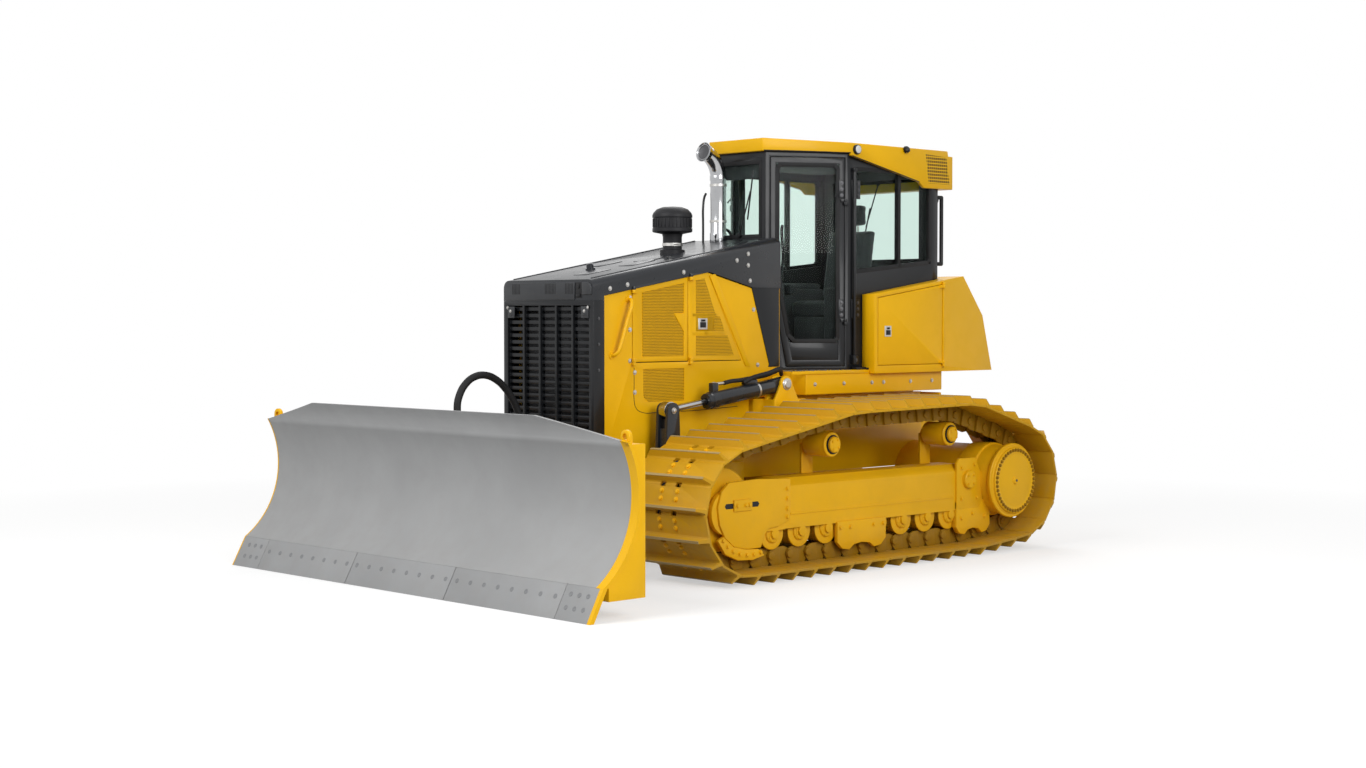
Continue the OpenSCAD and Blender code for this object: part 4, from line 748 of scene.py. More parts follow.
shoe = tapered(slab(SHOE_SECTION, "y", -SHOE_W / 2, SHOE_W / 2, 0))
for y in (-BOLT_Y, BOLT_Y):
    for low, high in NOTCHES_X:
        shoe = cut(shoe, block((low, y - NOTCH_HALF, -0.05), (high, y + NOTCH_HALF, 0.05), 0.004))
pick(shoe)
round_edges(0.0022, 35)
TIP_SECTION = [(0.0240, 0.0725), (0.0435, 0.0725), (0.0428, 0.0764), (0.0246, 0.0764)]
tip = tapered(slab(TIP_SECTION, "y", -SHOE_W / 2 - 0.001, SHOE_W / 2 + 0.001, 0))
shoe_bolts = joined(bolts([(x, y, 0.0155) for x in (0.098, 0.152) for y in (-BOLT_Y, BOLT_Y)], (0, 0, 1), 0.0145,
                          0.012))
print("shoe corners", len(shoe.data.vertices))

# %% [markdown]
# One link has two offset side bars, a bush and a pin. Shoe and link are then copied along the loop.

# %% Links and tracks
REAR_BAR = [(0.10, 0.0), (0.012, 0.0), (-0.014, -0.03), (-0.024, -0.07), (-0.012, -0.105), (0.035, -0.125),
            (0.11, -0.125)]
FORE_BAR = [(0.09, 0.0), (0.10, -0.125), (0.157, -0.125), (0.204, -0.105), (0.216, -0.07), (0.206, -0.03),
            (0.182, 0.0)]
link = []
for side in (-1, 1):
    link.append(slab(REAR_BAR, "y", side * 0.060, side * 0.078, 0.003))
    link.append(slab(FORE_BAR, "y", side * 0.077, side * 0.095, 0.003))
    link.append(rod((0, side * 0.076, -0.07), (0, side * 0.108, -0.07), 0.030, 14, 0.004))
link.append(rod((0, -0.062, -0.07), (0, 0.062, -0.07), 0.03, 16, 0))

link = joined(link)
# Shoes and chain take the darkened paints, which hold painted shade.
for side, name in ((1, "left"), (-1, "right")):
    places = [shoe_frame(k, side) for k in range(shoe_count)]
    for title, pattern, finish in (("track_shoes", shoe, shoe_yellow_painted_shade), ("track_chain", link, chain_yellow_painted_shade),
                                   ("shoe_bolts", shoe_bolts, track_yellow), ("grouser_tips", tip, worn_yellow)):
        made = piece("%s_%s" % (title, name), copies(twin_of(pattern), places), finish, smooth=30)
        if title == "track_shoes":
            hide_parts("track_" + name)
for pattern in (shoe, link, shoe_bolts, tip):
    bpy.data.objects.remove(pattern)

# %% [markdown]
# The undercarriage shows its working parts, made for the left side and mirrored. First come the bolted hub covers on
# the final drives.

# %% Hubs
HUB_Y = 1.417
hub_foot = (SPROCKET.x, 1.36, SPROCKET.y)
FLANGE = [(0.262, 0), (0.288, 0.0), (0.292, 0.006), (0.292, 0.026), (0.286, 0.032), (0.262, 0.032)]
COVER = [(0.0, 0.055), (0.20, 0.055), (0.208, 0.0575), (0.252, 0.0575), (0.258, 0.052), (0.258, 0.034), (0.0, 0.034)]
BOSS = [(0.0, 0.07), (0.024, 0.07), (0.03, 0.064), (0.034, 0.054), (0.0, 0.054)]


def round_row(center, r, count, y, start=0.0):
    """Points evenly round a circle on a side face."""
    return [(center[0] + r * math.cos(start + math.tau * k / count), y,
             center[1] + r * math.sin(start + math.tau * k / count)) for k in range(count)]


hubs = [turned(profile, hub_foot, OUT, steps) for profile, steps in ((FLANGE, 64), (COVER, 64), (BOSS, 24))]
both("hub_covers", hubs, track_yellow)
# The hub bolts take the chain's darkened paint, which holds painted shade.
both("hub_bolts", bolts(round_row(SPROCKET, 0.2385, 44, HUB_Y), OUT, 0.0105, 0.014), chain_yellow_painted_shade)
plug_rod = rod((SPROCKET.x, HUB_Y + 0.01, SPROCKET.y), (SPROCKET.x, HUB_Y + 0.018, SPROCKET.y), 0.011, 6)
both("hub_plugs", [plug_rod], dark_steel)
print("hubs done")

# %% [markdown]
# Each roller turns on a shaft that ends in a cap. The bottom rollers' caps sit in collars under the track frame, and
# the carrier rollers' caps have a dark seal.

# %% Roller caps
ROLLER_Z = 0.3068
roller_x = [0.42 - 1.98 / 7 * k for k in range(8)]
CAP = [(0.0, 0.034), (0.03, 0.034), (0.036, 0.028), (0.038, 0.016), (0.062, 0.014), (0.068, 0.008), (0.068, -0.02),
       (0.0, -0.02)]
caps = copies(turned(CAP, (0, 0, 0), OUT, 28), [Matrix.Translation((x, 1.233, ROLLER_Z)) for x in roller_x])
both("roller_caps", caps, track_yellow)
COLLAR = [(-0.052, 0.335), (-0.046, 0.275), (-0.024, 0.247), (0.024, 0.247), (0.046, 0.275), (0.052, 0.335)]
collars = [slab([(x + a, b) for a, b in COLLAR], "y", 1.235, 1.252, 0.004) for x in roller_x]
both("roller_collars", collars, track_yellow)
CARRIER_CAP = [(0.0, 0.052), (0.05, 0.052), (0.058, 0.045), (0.06, 0.022), (0.084, 0.02), (0.09, 0.014),
               (0.09, -0.004), (0.0, -0.004)]
SEAL = [(0.061, 0.032), (0.068, 0.032), (0.070, 0.026), (0.070, 0.019), (0.061, 0.019)]
for title, profile, finish in (("carrier_caps", CARRIER_CAP, track_yellow), ("carrier_seals", SEAL, rubber)):
    turned_part = turned(profile, (0, 0, 0), OUT, 36)
    both(title, copies(turned_part, [Matrix.Translation((c.x, 1.219, c.y)) for c in CARRIERS]), finish)
carrier_bolts = [place for c in CARRIERS for place in round_row(c, 0.04, 4, 1.271, 0.6)]
both("carrier_bolts", bolts(carrier_bolts, OUT, 0.008, 0.007), track_yellow)
print("roller caps", len(roller_x))

# %% [markdown]
# Plates are bolted to the track frame's outer face: roller guards with a scalloped edge, the end plate by the final
# drive, and the yoke plate that holds the idler, with a wear strip below it.

# %% Guards and yoke plates
PLATE_Y = 1.269
SCALLOPS = [(0, 0.06), (0.10, 0.012), (0.24, 0.0), (0.34, 0.035), (0.5, 0.045), (0.66, 0.035), (0.76, 0.0),
            (0.90, 0.012), (1, 0.06)]
END_PLATE = [(-1.60, 0.34), (-1.60, 0.70), (-1.63, 0.735), (-1.83, 0.735), (-1.90, 0.62), (-1.92, 0.40),
             (-1.88, 0.34)]
YOKE_PLATE = [(0.284, 0.40), (0.284, 0.690), (0.62, 0.705), (0.90, 0.695), (0.975, 0.635), (1.01, 0.53),
              (0.992, 0.41), (0.94, 0.315), (0.85, 0.247), (0.72, 0.222), (0.585, 0.222), (0.555, 0.30),
              (0.51, 0.348), (0.40, 0.36)]
WEAR = [(1.003, 0.30), (0.93, 0.20), (0.805, 0.150), (0.66, 0.142), (0.54, 0.166), (0.60, 0.215), (0.72, 0.222),
        (0.84, 0.25), (0.93, 0.33)]


def wavy_guard(front, rear, top, low):
    """A roller guard's outline, with its scalloped lower edge."""
    wave = [(front - share * (front - rear), low + rise) for share, rise in SCALLOPS]
    return [(front, top)] + wave + [(rear, top)]


def frame_plate(outline, inner, outer, edge):
    """A plate on the track frame's outer face."""
    return slab(outline, "y", PLATE_Y + inner, PLATE_Y + outer, edge)


plates = [frame_plate(wavy_guard(-0.22, -0.76, 0.345, 0.133), -0.02, 0.014, 0.005),
          frame_plate(wavy_guard(-1.60, -2.02, 0.40, 0.14), -0.03, 0.014, 0.005),
          frame_plate(END_PLATE, -0.01, 0.016, 0.006), frame_plate(YOKE_PLATE, -0.012, 0.018, 0.008)]
both("frame_plates", plates, track_yellow)
PIN_X, PIN_Z = -1.739, 0.569
PIN_BOSS = [(0.0, 0.034), (0.062, 0.034), (0.070, 0.026), (0.074, -0.01), (0.0, -0.01)]
adjuster = block((0.685, PLATE_Y + 0.014, 0.492), (0.865, PLATE_Y + 0.030, 0.572), 0.005)
covers = [frame_plate(WEAR, -0.022, 0.01, 0.005), adjuster, turned(PIN_BOSS, (PIN_X, PLATE_Y + 0.016, PIN_Z), OUT, 36)]
both("frame_covers", covers, track_yellow)
print("frame plates done")

# %% [markdown]
# Bolt heads hold the plates. The track adjuster shows as two slots beside its cover, thin black plates that are
# painted shade for the openings, and weld beads run along the frame's beam.

# %% Frame bolts, slots and welds
BOLT_ROWS = [(0.014, ((-0.25, 0.30), (-0.36, 0.30), (-0.62, 0.30), (-0.73, 0.30), (-1.66, 0.27), (-1.95, 0.27),
                      (-1.80, 0.30))),
             (0.016, ((-1.66, 0.66), (-1.66, 0.42), (-1.85, 0.42), (-1.82, 0.68))),
             (0.018, ((0.32, 0.42), (0.32, 0.48), (0.32, 0.55), (0.32, 0.62))),
             (0.030, ((0.715, 0.532), (0.750, 0.532), (0.835, 0.532))),
             (0.010, ((0.585, 0.19), (0.65, 0.181), (0.72, 0.183), (0.79, 0.195), (0.855, 0.218), (0.91, 0.255),
                      (0.955, 0.30)))]
heads = [(x, PLATE_Y + out, z) for out, row in BOLT_ROWS for x, z in row]
pin_heads = round_row((PIN_X, PIN_Z), 0.046, 4, PLATE_Y + 0.050, 0.785)
both("frame_bolts", bolts(heads, OUT, 0.013, 0.011) + bolts(pin_heads, OUT, 0.009, 0.008), track_yellow)
# Black slot plates: painted shade for the adjuster's openings.
SLOT = [(0, 0.514), (0.072, 0.514), (0.085, 0.532), (0.072, 0.550), (0, 0.550), (-0.013, 0.532)]
slots = [frame_plate([(x + a, b) for a, b in SLOT], 0.0175, 0.0195, 0) for x in (0.620, 0.862)]
both("adjuster_slots", slots, black)
welds = [block((0.330, 1.262, 0.44), (0.352, 1.278, 0.66), 0.004),
         block((-1.58, 1.262, 0.43), (0.27, 1.2735, 0.447), 0.003)]
both("beam_welds", welds, track_yellow)

# %% [markdown]
# The blade's cutting edge is bolted on in three straight pieces and two end bits, so it can be turned and replaced.
# Its plow bolts sit flush with the face. Two lifting eyes stand behind the upper corners.

# %% Blade bolts
EDGE_LOW = Vector((2.8, 0, 0.0))
EDGE_TOP = Vector((2.69, 0, 0.205))
edge_way = EDGE_TOP - EDGE_LOW
edge_face = Vector((edge_way.z, 0, -edge_way.x)).normalized()
PLOW_R = 0.0165
PLOW_HEAD = [(0.0, 0.0016), (PLOW_R * 0.55, 0.0016), (PLOW_R * 0.62, 0.0030), (PLOW_R * 0.95, 0.0030),
             (PLOW_R, 0.0012), (PLOW_R, -0.004), (0.0, -0.004)]


def on_edge(y, share):
    return EDGE_LOW + edge_way * share + Vector((0, y, 0)) - edge_face * 0.001


edge_bolts = []
for first, last in ((-1.60, -0.62), (-0.50, 0.50), (0.62, 1.60)):
    edge_bolts += [on_edge(y, 0.62) for y in (first + (last - first) * k / 7 for k in range(8))]
for side in (-1, 1):
    edge_bolts += [on_edge(side * y, share) for y in (1.73, 1.81, 1.89) for share in (0.36, 0.74)]
plow_head = turned(PLOW_HEAD, (0, 0, 0), (0, 0, 1), 14)
piece("edge_bolts", set_on(plow_head, edge_bolts, edge_face), bolt_grey, "blade")
print("edge bolts", len(edge_bolts))

# %% [markdown]
# The blade's ends are painted yellow. Each end is cut off a copy of the solid and grown by 2 mm, so it lies over the
# grey as a cap. The left cap is deeper, as in the photograph.

# %% Blade ends and lifting eyes
def end_cap(node, inset):
    """The outer end of a solid as a thin painted cap, a little proud of it."""
    twin = solid_copy(node)
    bpy.ops.mesh.bisect(plane_co=(0, inset, 0), plane_no=OUT, clear_inner=True, use_fill=True)
    bpy.ops.mesh.select_all(action="SELECT")
    bpy.ops.mesh.dissolve_limited(angle_limit=math.radians(1))
    bpy.ops.mesh.select_all(action="SELECT")
    bpy.ops.mesh.normals_make_consistent(inside=False)
    bpy.ops.transform.shrink_fatten(value=0.002)
    leave()
    for corner in twin.data.vertices:
        corner.co.z = max(corner.co.z, 0.0)
    return twin


def lug(y, z, r, hole, low, high, edge, foot):
    """A lifting eye across X: a plate with a round top and a hole."""
    outline = [(y + r * math.cos(math.radians(a)), z + r * math.sin(math.radians(a))) for a in range(0, 181, 15)]
    outline += [(y - r, z - r - foot), (y + r, z - r - foot)]
    middle, reach = (low + high) / 2, high - low
    return cut(slab(outline, "x", low, high, edge), rod((middle - reach, y, z), (middle + reach, y, z), hole, 24, 0))


left_caps = [end_cap("moldboard", 1.93), end_cap("cutting_edge", 1.968)]
piece("blade_end_cap_left", left_caps, yellow, "blade")
right_caps = [end_cap("moldboard", 1.986), end_cap("cutting_edge", 1.986)]
piece("blade_end_cap_right", to_right(right_caps), yellow, "blade")
eyes = [lug(y, 1.105, 0.042, 0.021, 2.424, 2.452, 0.005, 0.05) for y in (-1.925, 1.925)]
piece("lifting_eyes", eyes, yellow, "blade")
print("blade ends and eyes made")

# %% [markdown]
# The lift cylinders have a clamp band, a screwed gland where the rod comes out, and pressure lines along the top.
# Their parts are placed by distance along the cylinder, above its axis and outwards.

# %% Lift cylinders
LIFT_BASE = Vector((-0.303, 0.64, 1.328))
LIFT_EYE = Vector((0.868, 0.64, 1.168))
lift_way = (LIFT_EYE - LIFT_BASE).normalized()
lift_up = Vector((-lift_way.z, 0, lift_way.x))
BAND = [(0.0565, 0.0), (0.0605, 0.001), (0.0605, 0.018), (0.0565, 0.019)]
GLAND = [(0.030, 0.018), (0.050, 0.018), (0.056, 0.012), (0.063, 0.006), (0.063, -0.060), (0.0555, -0.064),
         (0.030, -0.064)]
PIN_CAP = [(0.0, 0.012), (0.026, 0.012), (0.030, 0.008), (0.034, 0.006), (0.044, 0.005), (0.046, 0.0), (0.0, 0.0)]
LONG_LINE = [(0.600, 0.103), (0.52, 0.104), (0.45, 0.098), (0.34, 0.094), (0.25, 0.092)]
OUTER_LINE = [(0.41, 0.075, 0.012), (0.34, 0.098, 0.03), (0.24, 0.105, 0.032), (0.15, 0.108, 0.03),
              (0.05, 0.118, 0.02), (-0.05, 0.105, -0.03)]
BASE_LINE = [(0.25, 0.092), (0.16, 0.090), (0.07, 0.10), (-0.02, 0.102, -0.02), (-0.07, 0.06, -0.055)]


def on_lift(along, up=0.0, out=0.0):
    return LIFT_BASE + lift_way * along + lift_up * up + Vector((0, out, 0))


def lift_rod(first, last, r, sides):
    return rod(on_lift(*first), on_lift(*last), r, sides)


def lift_bands():
    return [turned(BAND, on_lift(0.27), lift_way, 32), lift_rod((0.690, 0.112), (0.720, 0.112), 0.017, 6),
            lift_rod((0.595, 0.103), (0.690, 0.110), 0.0115, 12),
            lift_rod((0.235, 0.092), (0.255, 0.092), 0.0165, 6), lift_rod((0.165, 0.090), (0.185, 0.090), 0.0165, 6)]


def lift_glands():
    port = Vector((0.024, 0.024, 0.012))
    return [turned(GLAND, on_lift(0.755), lift_way, 32),
            block(on_lift(0.710, 0.045) - port, on_lift(0.710, 0.110) + port, 0.006),
            block(on_lift(0.32, 0.05) - Vector((0.05, 0.022, 0.004)),
                  on_lift(0.34, 0.075) + Vector((0.06, 0.022, 0.012)), 0.006)]


def lift_lines():
    return [pipe([on_lift(*point) for point in line], r, 4)
            for line, r in ((LONG_LINE, 0.016), (OUTER_LINE, 0.0165), (BASE_LINE, 0.0165))]


each_side("lift_bands", lift_bands, bolt_steel, "lift_barrel_%s")
each_side("lift_glands", lift_glands, charcoal, "lift_barrel_%s")
each_side("lift_lines", lift_lines, rubber, "lift_barrel_%s")
both("lift_base_caps", [turned(PIN_CAP, (LIFT_BASE.x, 0.7005, LIFT_BASE.z), OUT, 28)], bolt_steel)
tower_bolts = bolts([(LIFT_EYE.x, 0.7005, LIFT_EYE.z)], OUT, 0.017, 0.016)
both("tower_pin_bolts", tower_bolts, bolt_steel, "push_frame")
pivot_cap = turned([(r * 1.9, h * 1.5) for r, h in PIN_CAP], (0.05, 0.6405, 0.5), OUT, 32)
both("arm_pivot_caps", [pivot_cap], dark_steel)
print("cylinders dressed")

# %% [markdown]
# The front of the machine is the radiator guard, with the hood's grey nose plate above it. The nose has three groups
# of upright slots, drawn as black blocks that are painted shade for the openings. On the sides, perforated sheet
# covers the openings of the engine doors. The sheet is a plate with a finish of small dark holes, because real holes
# would need far too many faces; the dark holes are painted shade for the unlit space behind the sheet.

# %% Perforated sheet
def perforated(name, slot, color, pitch):
    """Painted sheet with a staggered pattern of punched holes on the side faces; the holes are painted shade."""
    finish = Finish(name, slot)
    spot = finish.split("X") * (1 / pitch)
    rise = finish.split("Z") * (1 / pitch)
    shift = rise.sum("FLOOR").sum("MODULO", 2.0) * 0.5
    across = (spot + shift).sum("FRACT") - 0.5
    up = rise.sum("FRACT") - 0.5
    hole = (across * across + up * up) < 0.115
    cloud = finish.noise(8.0)
    tone = finish.blend(finish.range(cloud, 0.3, 0.7), shade(color, 0.92), shade(color, 1.03))
    # The holes get painted shade: a dark copy of the sheet's colour.
    finish.set("Base Color", finish.blend(hole, tone, shade(color, 0.12)))
    finish.set("Roughness", finish.range(cloud, 0.3, 0.7, 0.42, 0.56))
    return finish


mesh_yellow = perforated("perforated_yellow", "yellow_paint", (0.80, 0.43, 0.002), 0.011)
print("sheet finish", mesh_yellow.material.name)

# %% [markdown]
# The nose plate follows the hood's rounded corners. Beside it, a recess holds a small latch. The guard has a latch
# plate near each upper corner, with screws.

# %% Nose plate and guard fittings
NOSE = [(-0.478, 1.950), (0.300, 1.950), (0.300, 2.074), (-0.44, 2.074), (-0.468, 2.060), (-0.478, 2.035)]
CORNER_CAP = [(0.378, 1.985), (0.478, 1.985), (0.478, 2.035), (0.468, 2.060), (0.44, 2.074), (0.378, 2.074)]
NOSE_X = 1.436
LATCH_Y = 0.405
SLOT_PITCH, SLOT_W = 0.0155, 0.0085
nose = [slab(NOSE, "x", 1.4385, 1.4475, 0.004), slab(CORNER_CAP, "x", 1.4385, 1.4495, 0.006)]
piece("nose_plate", nose, nose_grey)
# The latch recess and the slots are black blocks: painted shade in the hollows.
slots = [block((NOSE_X, 0.304, 1.962), (1.4425, 0.374, 2.072), 0.003),
         block((NOSE_X, 0.318, 1.970), (1.451, 0.360, 1.990), 0.004),
         block((NOSE_X, 0.326, 2.030), (1.448, 0.352, 2.062), 0.004)]
for first, count in ((-0.385, 6), (-0.02, 8), (0.200, 6)):
    lefts = [first + SLOT_PITCH * k for k in range(count)]
    slots += [block((1.440, y, 1.992), (1.4482, y + SLOT_W, 2.066), 0.001) for y in lefts]
piece("nose_slots", slots, black)
latches = []
for y in (-LATCH_Y, LATCH_Y):
    latches += [block((NOSE_X, y - 0.038, 1.822), (1.4455, y + 0.038, 1.905), 0.003),
                block((NOSE_X, y - 0.020, 1.838), (1.4485, y + 0.020, 1.89), 0.004)]
piece("guard_latches", latches, nose_grey)
screws = [(1.4485, y, 1.872) for y in (-LATCH_Y, LATCH_Y)] + [(1.4455, y, 1.897) for y in (-0.44, 0.44)]
piece("guard_screws", bolts(screws, (1, 0, 0), 0.009, 0.006), bolt_steel)
side_screws = [(1.39, 0.4925, z) for z in (1.46, 1.64, 1.82)]
both("guard_side_screws", bolts(side_screws, OUT, 0.009, 0.006), dark_steel)
print("nose dressed")

# %% [markdown]
# The hood slopes down to the front, so its fittings take their height from how far forward they are: small lids, the
# coolant's cap, a crease along each edge and bolts on the sides.

# %% Hood fittings
HOOD_SLOPE = 0.178
CREASE_Y = 0.425


def hood_top(x):
    return 2.092 + (1.44 - x) * HOOD_SLOPE


def hood_low(x):
    return 1.98 + (1.338 - x) * 0.174


HOOD_CAP = [(0.0, 0.046), (0.02, 0.046), (0.026, 0.04), (0.027, 0.014), (0.036, 0.012), (0.037, -0.004),
            (0.0, -0.004)]
hood_turn = Vector((HOOD_SLOPE, 0, 1)).normalized()
hood_cap = turned(HOOD_CAP, (0.98, -0.06, hood_top(0.98)), hood_turn, 24)
lid_turn = Matrix.Rotation(math.atan(HOOD_SLOPE), 4, "Y")
lid = slab([(0.12, -0.07), (0.12, 0.07), (-0.12, 0.07), (-0.12, -0.07)], "z", 0.0, 0.006, 0.002)
LIDS = ((1.12, 0.12), (0.72, 0.16), (0.72, -0.20), (0.52, 0.10))
lids = copies(lid, [Matrix.Translation((x, y, hood_top(x) - 0.002)) @ lid_turn for x, y in LIDS])
piece("hood_lids", lids + [hood_cap], charcoal)
creases = [pipe([(x, y, hood_top(x) + 0.001) for x in (1.40, 0.5, -0.44)], 0.006, 3) for y in (-CREASE_Y, CREASE_Y)]
piece("hood_creases", creases, charcoal)
hood_bolts = [(x, 0.4925, hood_low(x) + 0.04) for x in (1.285, 1.12, 0.57, 0.02)]
hood_bolts += [(x, 0.4925, z) for x, z in ((-0.10, 2.30), (-0.10, 2.215), (-0.12, 2.10))]
both("hood_bolts", bolts(hood_bolts, OUT, 0.0125, 0.008), bolt_steel)
print("hood dressed")

# %% [markdown]
# The precleaner is a turned bowl with upright vanes, clamped to the intake pipe.

# %% Precleaner
CLEANER_X = 0.212
CLEANER = [(0.0, 2.30), (0.094, 2.29), (0.094, 2.33), (0.090, 2.334), (0.072, 2.338), (0.072, 2.43), (0.078, 2.452),
           (0.146, 2.466), (0.151, 2.472), (0.151, 2.494), (0.145, 2.499), (0.145, 2.572), (0.151, 2.577),
           (0.151, 2.594), (0.143, 2.612), (0.118, 2.638), (0.075, 2.654), (0.0, 2.660)]
CLAMP = [(0.0725, 2.362), (0.0770, 2.362), (0.0770, 2.384), (0.0725, 2.384)]
VANES = 30
cleaner_foot = Matrix.Translation((CLEANER_X, 0, 0))
vane = block((0.144, -0.004, 2.502), (0.1495, 0.004, 2.569), 0.001)
vanes = copies(vane, [cleaner_foot @ Matrix.Rotation(math.tau * k / VANES, 4, "Z") for k in range(VANES)])
bowl = turned(CLEANER, (CLEANER_X, 0, 0), (0, 0, 1), 48)
cleaner = piece("precleaner_bowl", [bowl] + vanes, plastic)
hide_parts("precleaner")
clamp = [turned(CLAMP, (CLEANER_X, 0, 0), (0, 0, 1), 40),
         rod((CLEANER_X + 0.05, 0.066, 2.373), (CLEANER_X + 0.02, 0.095, 2.373), 0.006, 8)]
piece("precleaner_clamp", clamp, bolt_steel)
print("precleaner made")

# %% [markdown]
# Perforated sheets close the openings of the engine doors and the lower panel, with bars between them. The rear door
# has a paddle latch.

# %% Sheets, bars and latches
SHEET_IN, SHEET_Y = 0.4705, 0.4745
FRONT_SHEET = [(0.957, 1.545), (0.957, 2.012), (0.553, 2.078), (0.553, 1.860), (0.650, 1.855), (0.553, 1.722),
               (0.553, 1.545)]
REAR_SHEETS = [[(0.434, 2.098), (0.345, 2.112), (0.236, 1.857), (0.434, 1.857)],
               [(0.251, 1.832), (0.186, 1.832), (0.140, 1.724), (0.251, 1.724)],
               [(0.434, 1.694), (0.110, 1.694), (0.040, 1.546), (0.434, 1.546)]]
LOW_SHEET = [(0.955, 1.30), (0.955, 1.457), (0.552, 1.457), (0.552, 1.226), (0.90, 1.226), (0.94, 1.255)]
FRONT_WEB = [[(0.553, 1.855), (0.650, 1.855), (0.553, 1.722)]]
REAR_WEBS = [[(0.47, 1.832), (0.47, 1.857), (0.225, 1.857), (0.214, 1.832)],
             [(0.47, 1.694), (0.47, 1.724), (0.135, 1.724), (0.122, 1.694)],
             [(0.434, 1.724), (0.434, 1.832), (0.251, 1.832), (0.251, 1.724)]]


def sheets(outlines, low, high, edge=0):
    """Gives a function that makes plates across the machine's side."""
    return lambda: [slab(outline, "y", low, high, edge) for outline in outlines]


def latch_plate():
    return [block((0.318, 0.478, 1.738), (0.412, 0.4845, 1.820), 0.004)]


def latch():
    return [block((0.336, 0.482, 1.752), (0.394, 0.489, 1.792), 0.003),
            block((0.346, 0.484, 1.796), (0.384, 0.4935, 1.812), 0.003)]


both("lower_sheets", sheets([LOW_SHEET], SHEET_IN, SHEET_Y)(), mesh_yellow)
DOOR_SHEETS = [("front_sheet", sheets([FRONT_SHEET], SHEET_IN, SHEET_Y), mesh_yellow, "front"),
               ("rear_sheets", sheets(REAR_SHEETS, SHEET_IN, 0.4812), mesh_yellow, "rear"),
               ("front_door_web", sheets(FRONT_WEB, 0.462, 0.480, 0.001), yellow, "front"),
               ("rear_door_webs", sheets(REAR_WEBS, 0.462, 0.480, 0.001), yellow, "rear"),
               ("door_latch_plate", latch_plate, bolt_steel, "rear"), ("door_latch", latch, black, "rear")]
for title, make, finish, end in DOOR_SHEETS:
    each_side(title, make, finish, "engine_door_%s_" + end)
print("engine doors dressed")

# %% [markdown]
# The fixed panels carry a slanted strip behind the doors, a bent handle, bolts and a seam.

# %% Side panels
STRIP = [(0.296, 2.130), (0.240, 2.150), (-0.135, 1.462), (-0.082, 1.462)]
both("side_strips", [slab(STRIP, "y", 0.478, 0.488, 0.003)], yellow)
HANDLE = [(1.100, 0.478, 1.955), (1.104, 0.512, 1.950), (1.115, 0.532, 1.925), (1.160, 0.534, 1.80),
          (1.215, 0.534, 1.648), (1.236, 0.530, 1.592), (1.252, 0.512, 1.568), (1.262, 0.478, 1.560)]
HANDLE_FOOT = [(0.0, 0.008), (0.024, 0.008), (0.027, 0.0), (0.0, 0.0)]
feet = [turned(HANDLE_FOOT, (x, 0.480, z), OUT, 20) for x, z in ((1.100, 1.955), (1.262, 1.560))]
both("side_handles", [pipe(HANDLE, 0.0135, 4)] + feet, yellow)
PANEL_BOLTS = ((1.086, 1.965), (1.086, 1.74), (1.086, 1.52), (1.04, 1.437), (1.04, 1.296), (-0.17, 1.885),
               (-0.215, 1.47))
both("panel_bolts", bolts([(x, 0.4805, z) for x, z in PANEL_BOLTS], OUT, 0.0125, 0.009), bolt_steel)
SEAM = [(1.046, 1.470), (1.046, 1.35), (1.046, 1.24), (1.028, 1.185), (0.98, 1.155), (0.80, 1.148), (0.40, 1.150),
        (0.0, 1.165)]
both("panel_seams", [pipe([(x, 0.4803, z) for x, z in SEAM], 0.0022, 2)], black)
print("side panels dressed")

# %% [markdown]
# The cab's doors hang on the pillar behind them and lie at an angle to the machine, so their parts are drawn in the
# door's own plane and then turned into place: X runs from the front edge to the hinges, Y goes inwards and Z up. A
# flat rubber ring with cut corners holds each pane, and a kick panel fills the door's foot. Hinge plates are bolted to
# door and pillar.

# %% Cab doors
DOOR_RUN = Vector((-0.580, 0.330)).normalized()
DOOR_FRAME = Matrix(((DOOR_RUN.x, -DOOR_RUN.y, 0, -0.5), (DOOR_RUN.y, DOOR_RUN.x, 0, 0.29), (0, 0, 1, 0),
                     (0, 0, 0, 1)))
HINGES_Z = (1.79, 2.715)


def to_door(parts):
    """Turns parts that were drawn in the door's plane into place on the left door."""
    for part in parts:
        part.data.transform(DOOR_FRAME)
    return parts


def ring(outer, inner, plane, low, high):
    """A flat gasket: one plate for each side of a ring, between its outer and inner outline."""
    turns = zip(outer, outer[1:] + outer[:1], inner[1:] + inner[:1], inner)
    return [slab(list(corners), plane, low, high, 0.002) for corners in turns]


PANE_OUTER = [(0.222, 1.630), (0.572, 1.630), (0.598, 1.660), (0.598, 2.980), (0.566, 3.016), (0.114, 3.016),
              (0.079, 2.980), (0.079, 2.145), (0.166, 1.690)]
PANE_INNER = [(0.240, 1.660), (0.556, 1.660), (0.568, 1.674), (0.568, 2.964), (0.550, 2.984), (0.130, 2.984),
              (0.111, 2.964), (0.111, 2.148), (0.196, 1.700)]
KICK = [(0.214, 1.492), (0.595, 1.492), (0.595, 1.634), (0.178, 1.634)]
HINGE_BOLTS_UP = (0.055, 0.102, 0.15)
DOOR_RAIL = [(0.150, 0.052, 2.10), (0.16, 0.10, 2.13), (0.175, 0.115, 2.30), (0.16, 0.10, 2.50), (0.150, 0.052, 2.53)]


def hinge_plates():
    plates = [block((0.585, -0.011, z + 0.030), (0.634, 0.001, z + 0.175), 0.004) for z in HINGES_Z]
    return plates + [rod((0.60, -0.004, 2.80), (0.545, -0.026, 2.755), 0.007, 10)]


def hinge_bolts():
    return bolts([(0.611, -0.010, z + up) for z in HINGES_Z for up in HINGE_BOLTS_UP], (0, -1, 0), 0.011, 0.007)


def door_handle():
    return [block((0.090, -0.022, 2.02), (0.122, 0.002, 2.10), 0.006),
            block((0.086, -0.012, 2.00), (0.128, 0.002, 2.13), 0.005), pipe(DOOR_RAIL, 0.012, 3)]


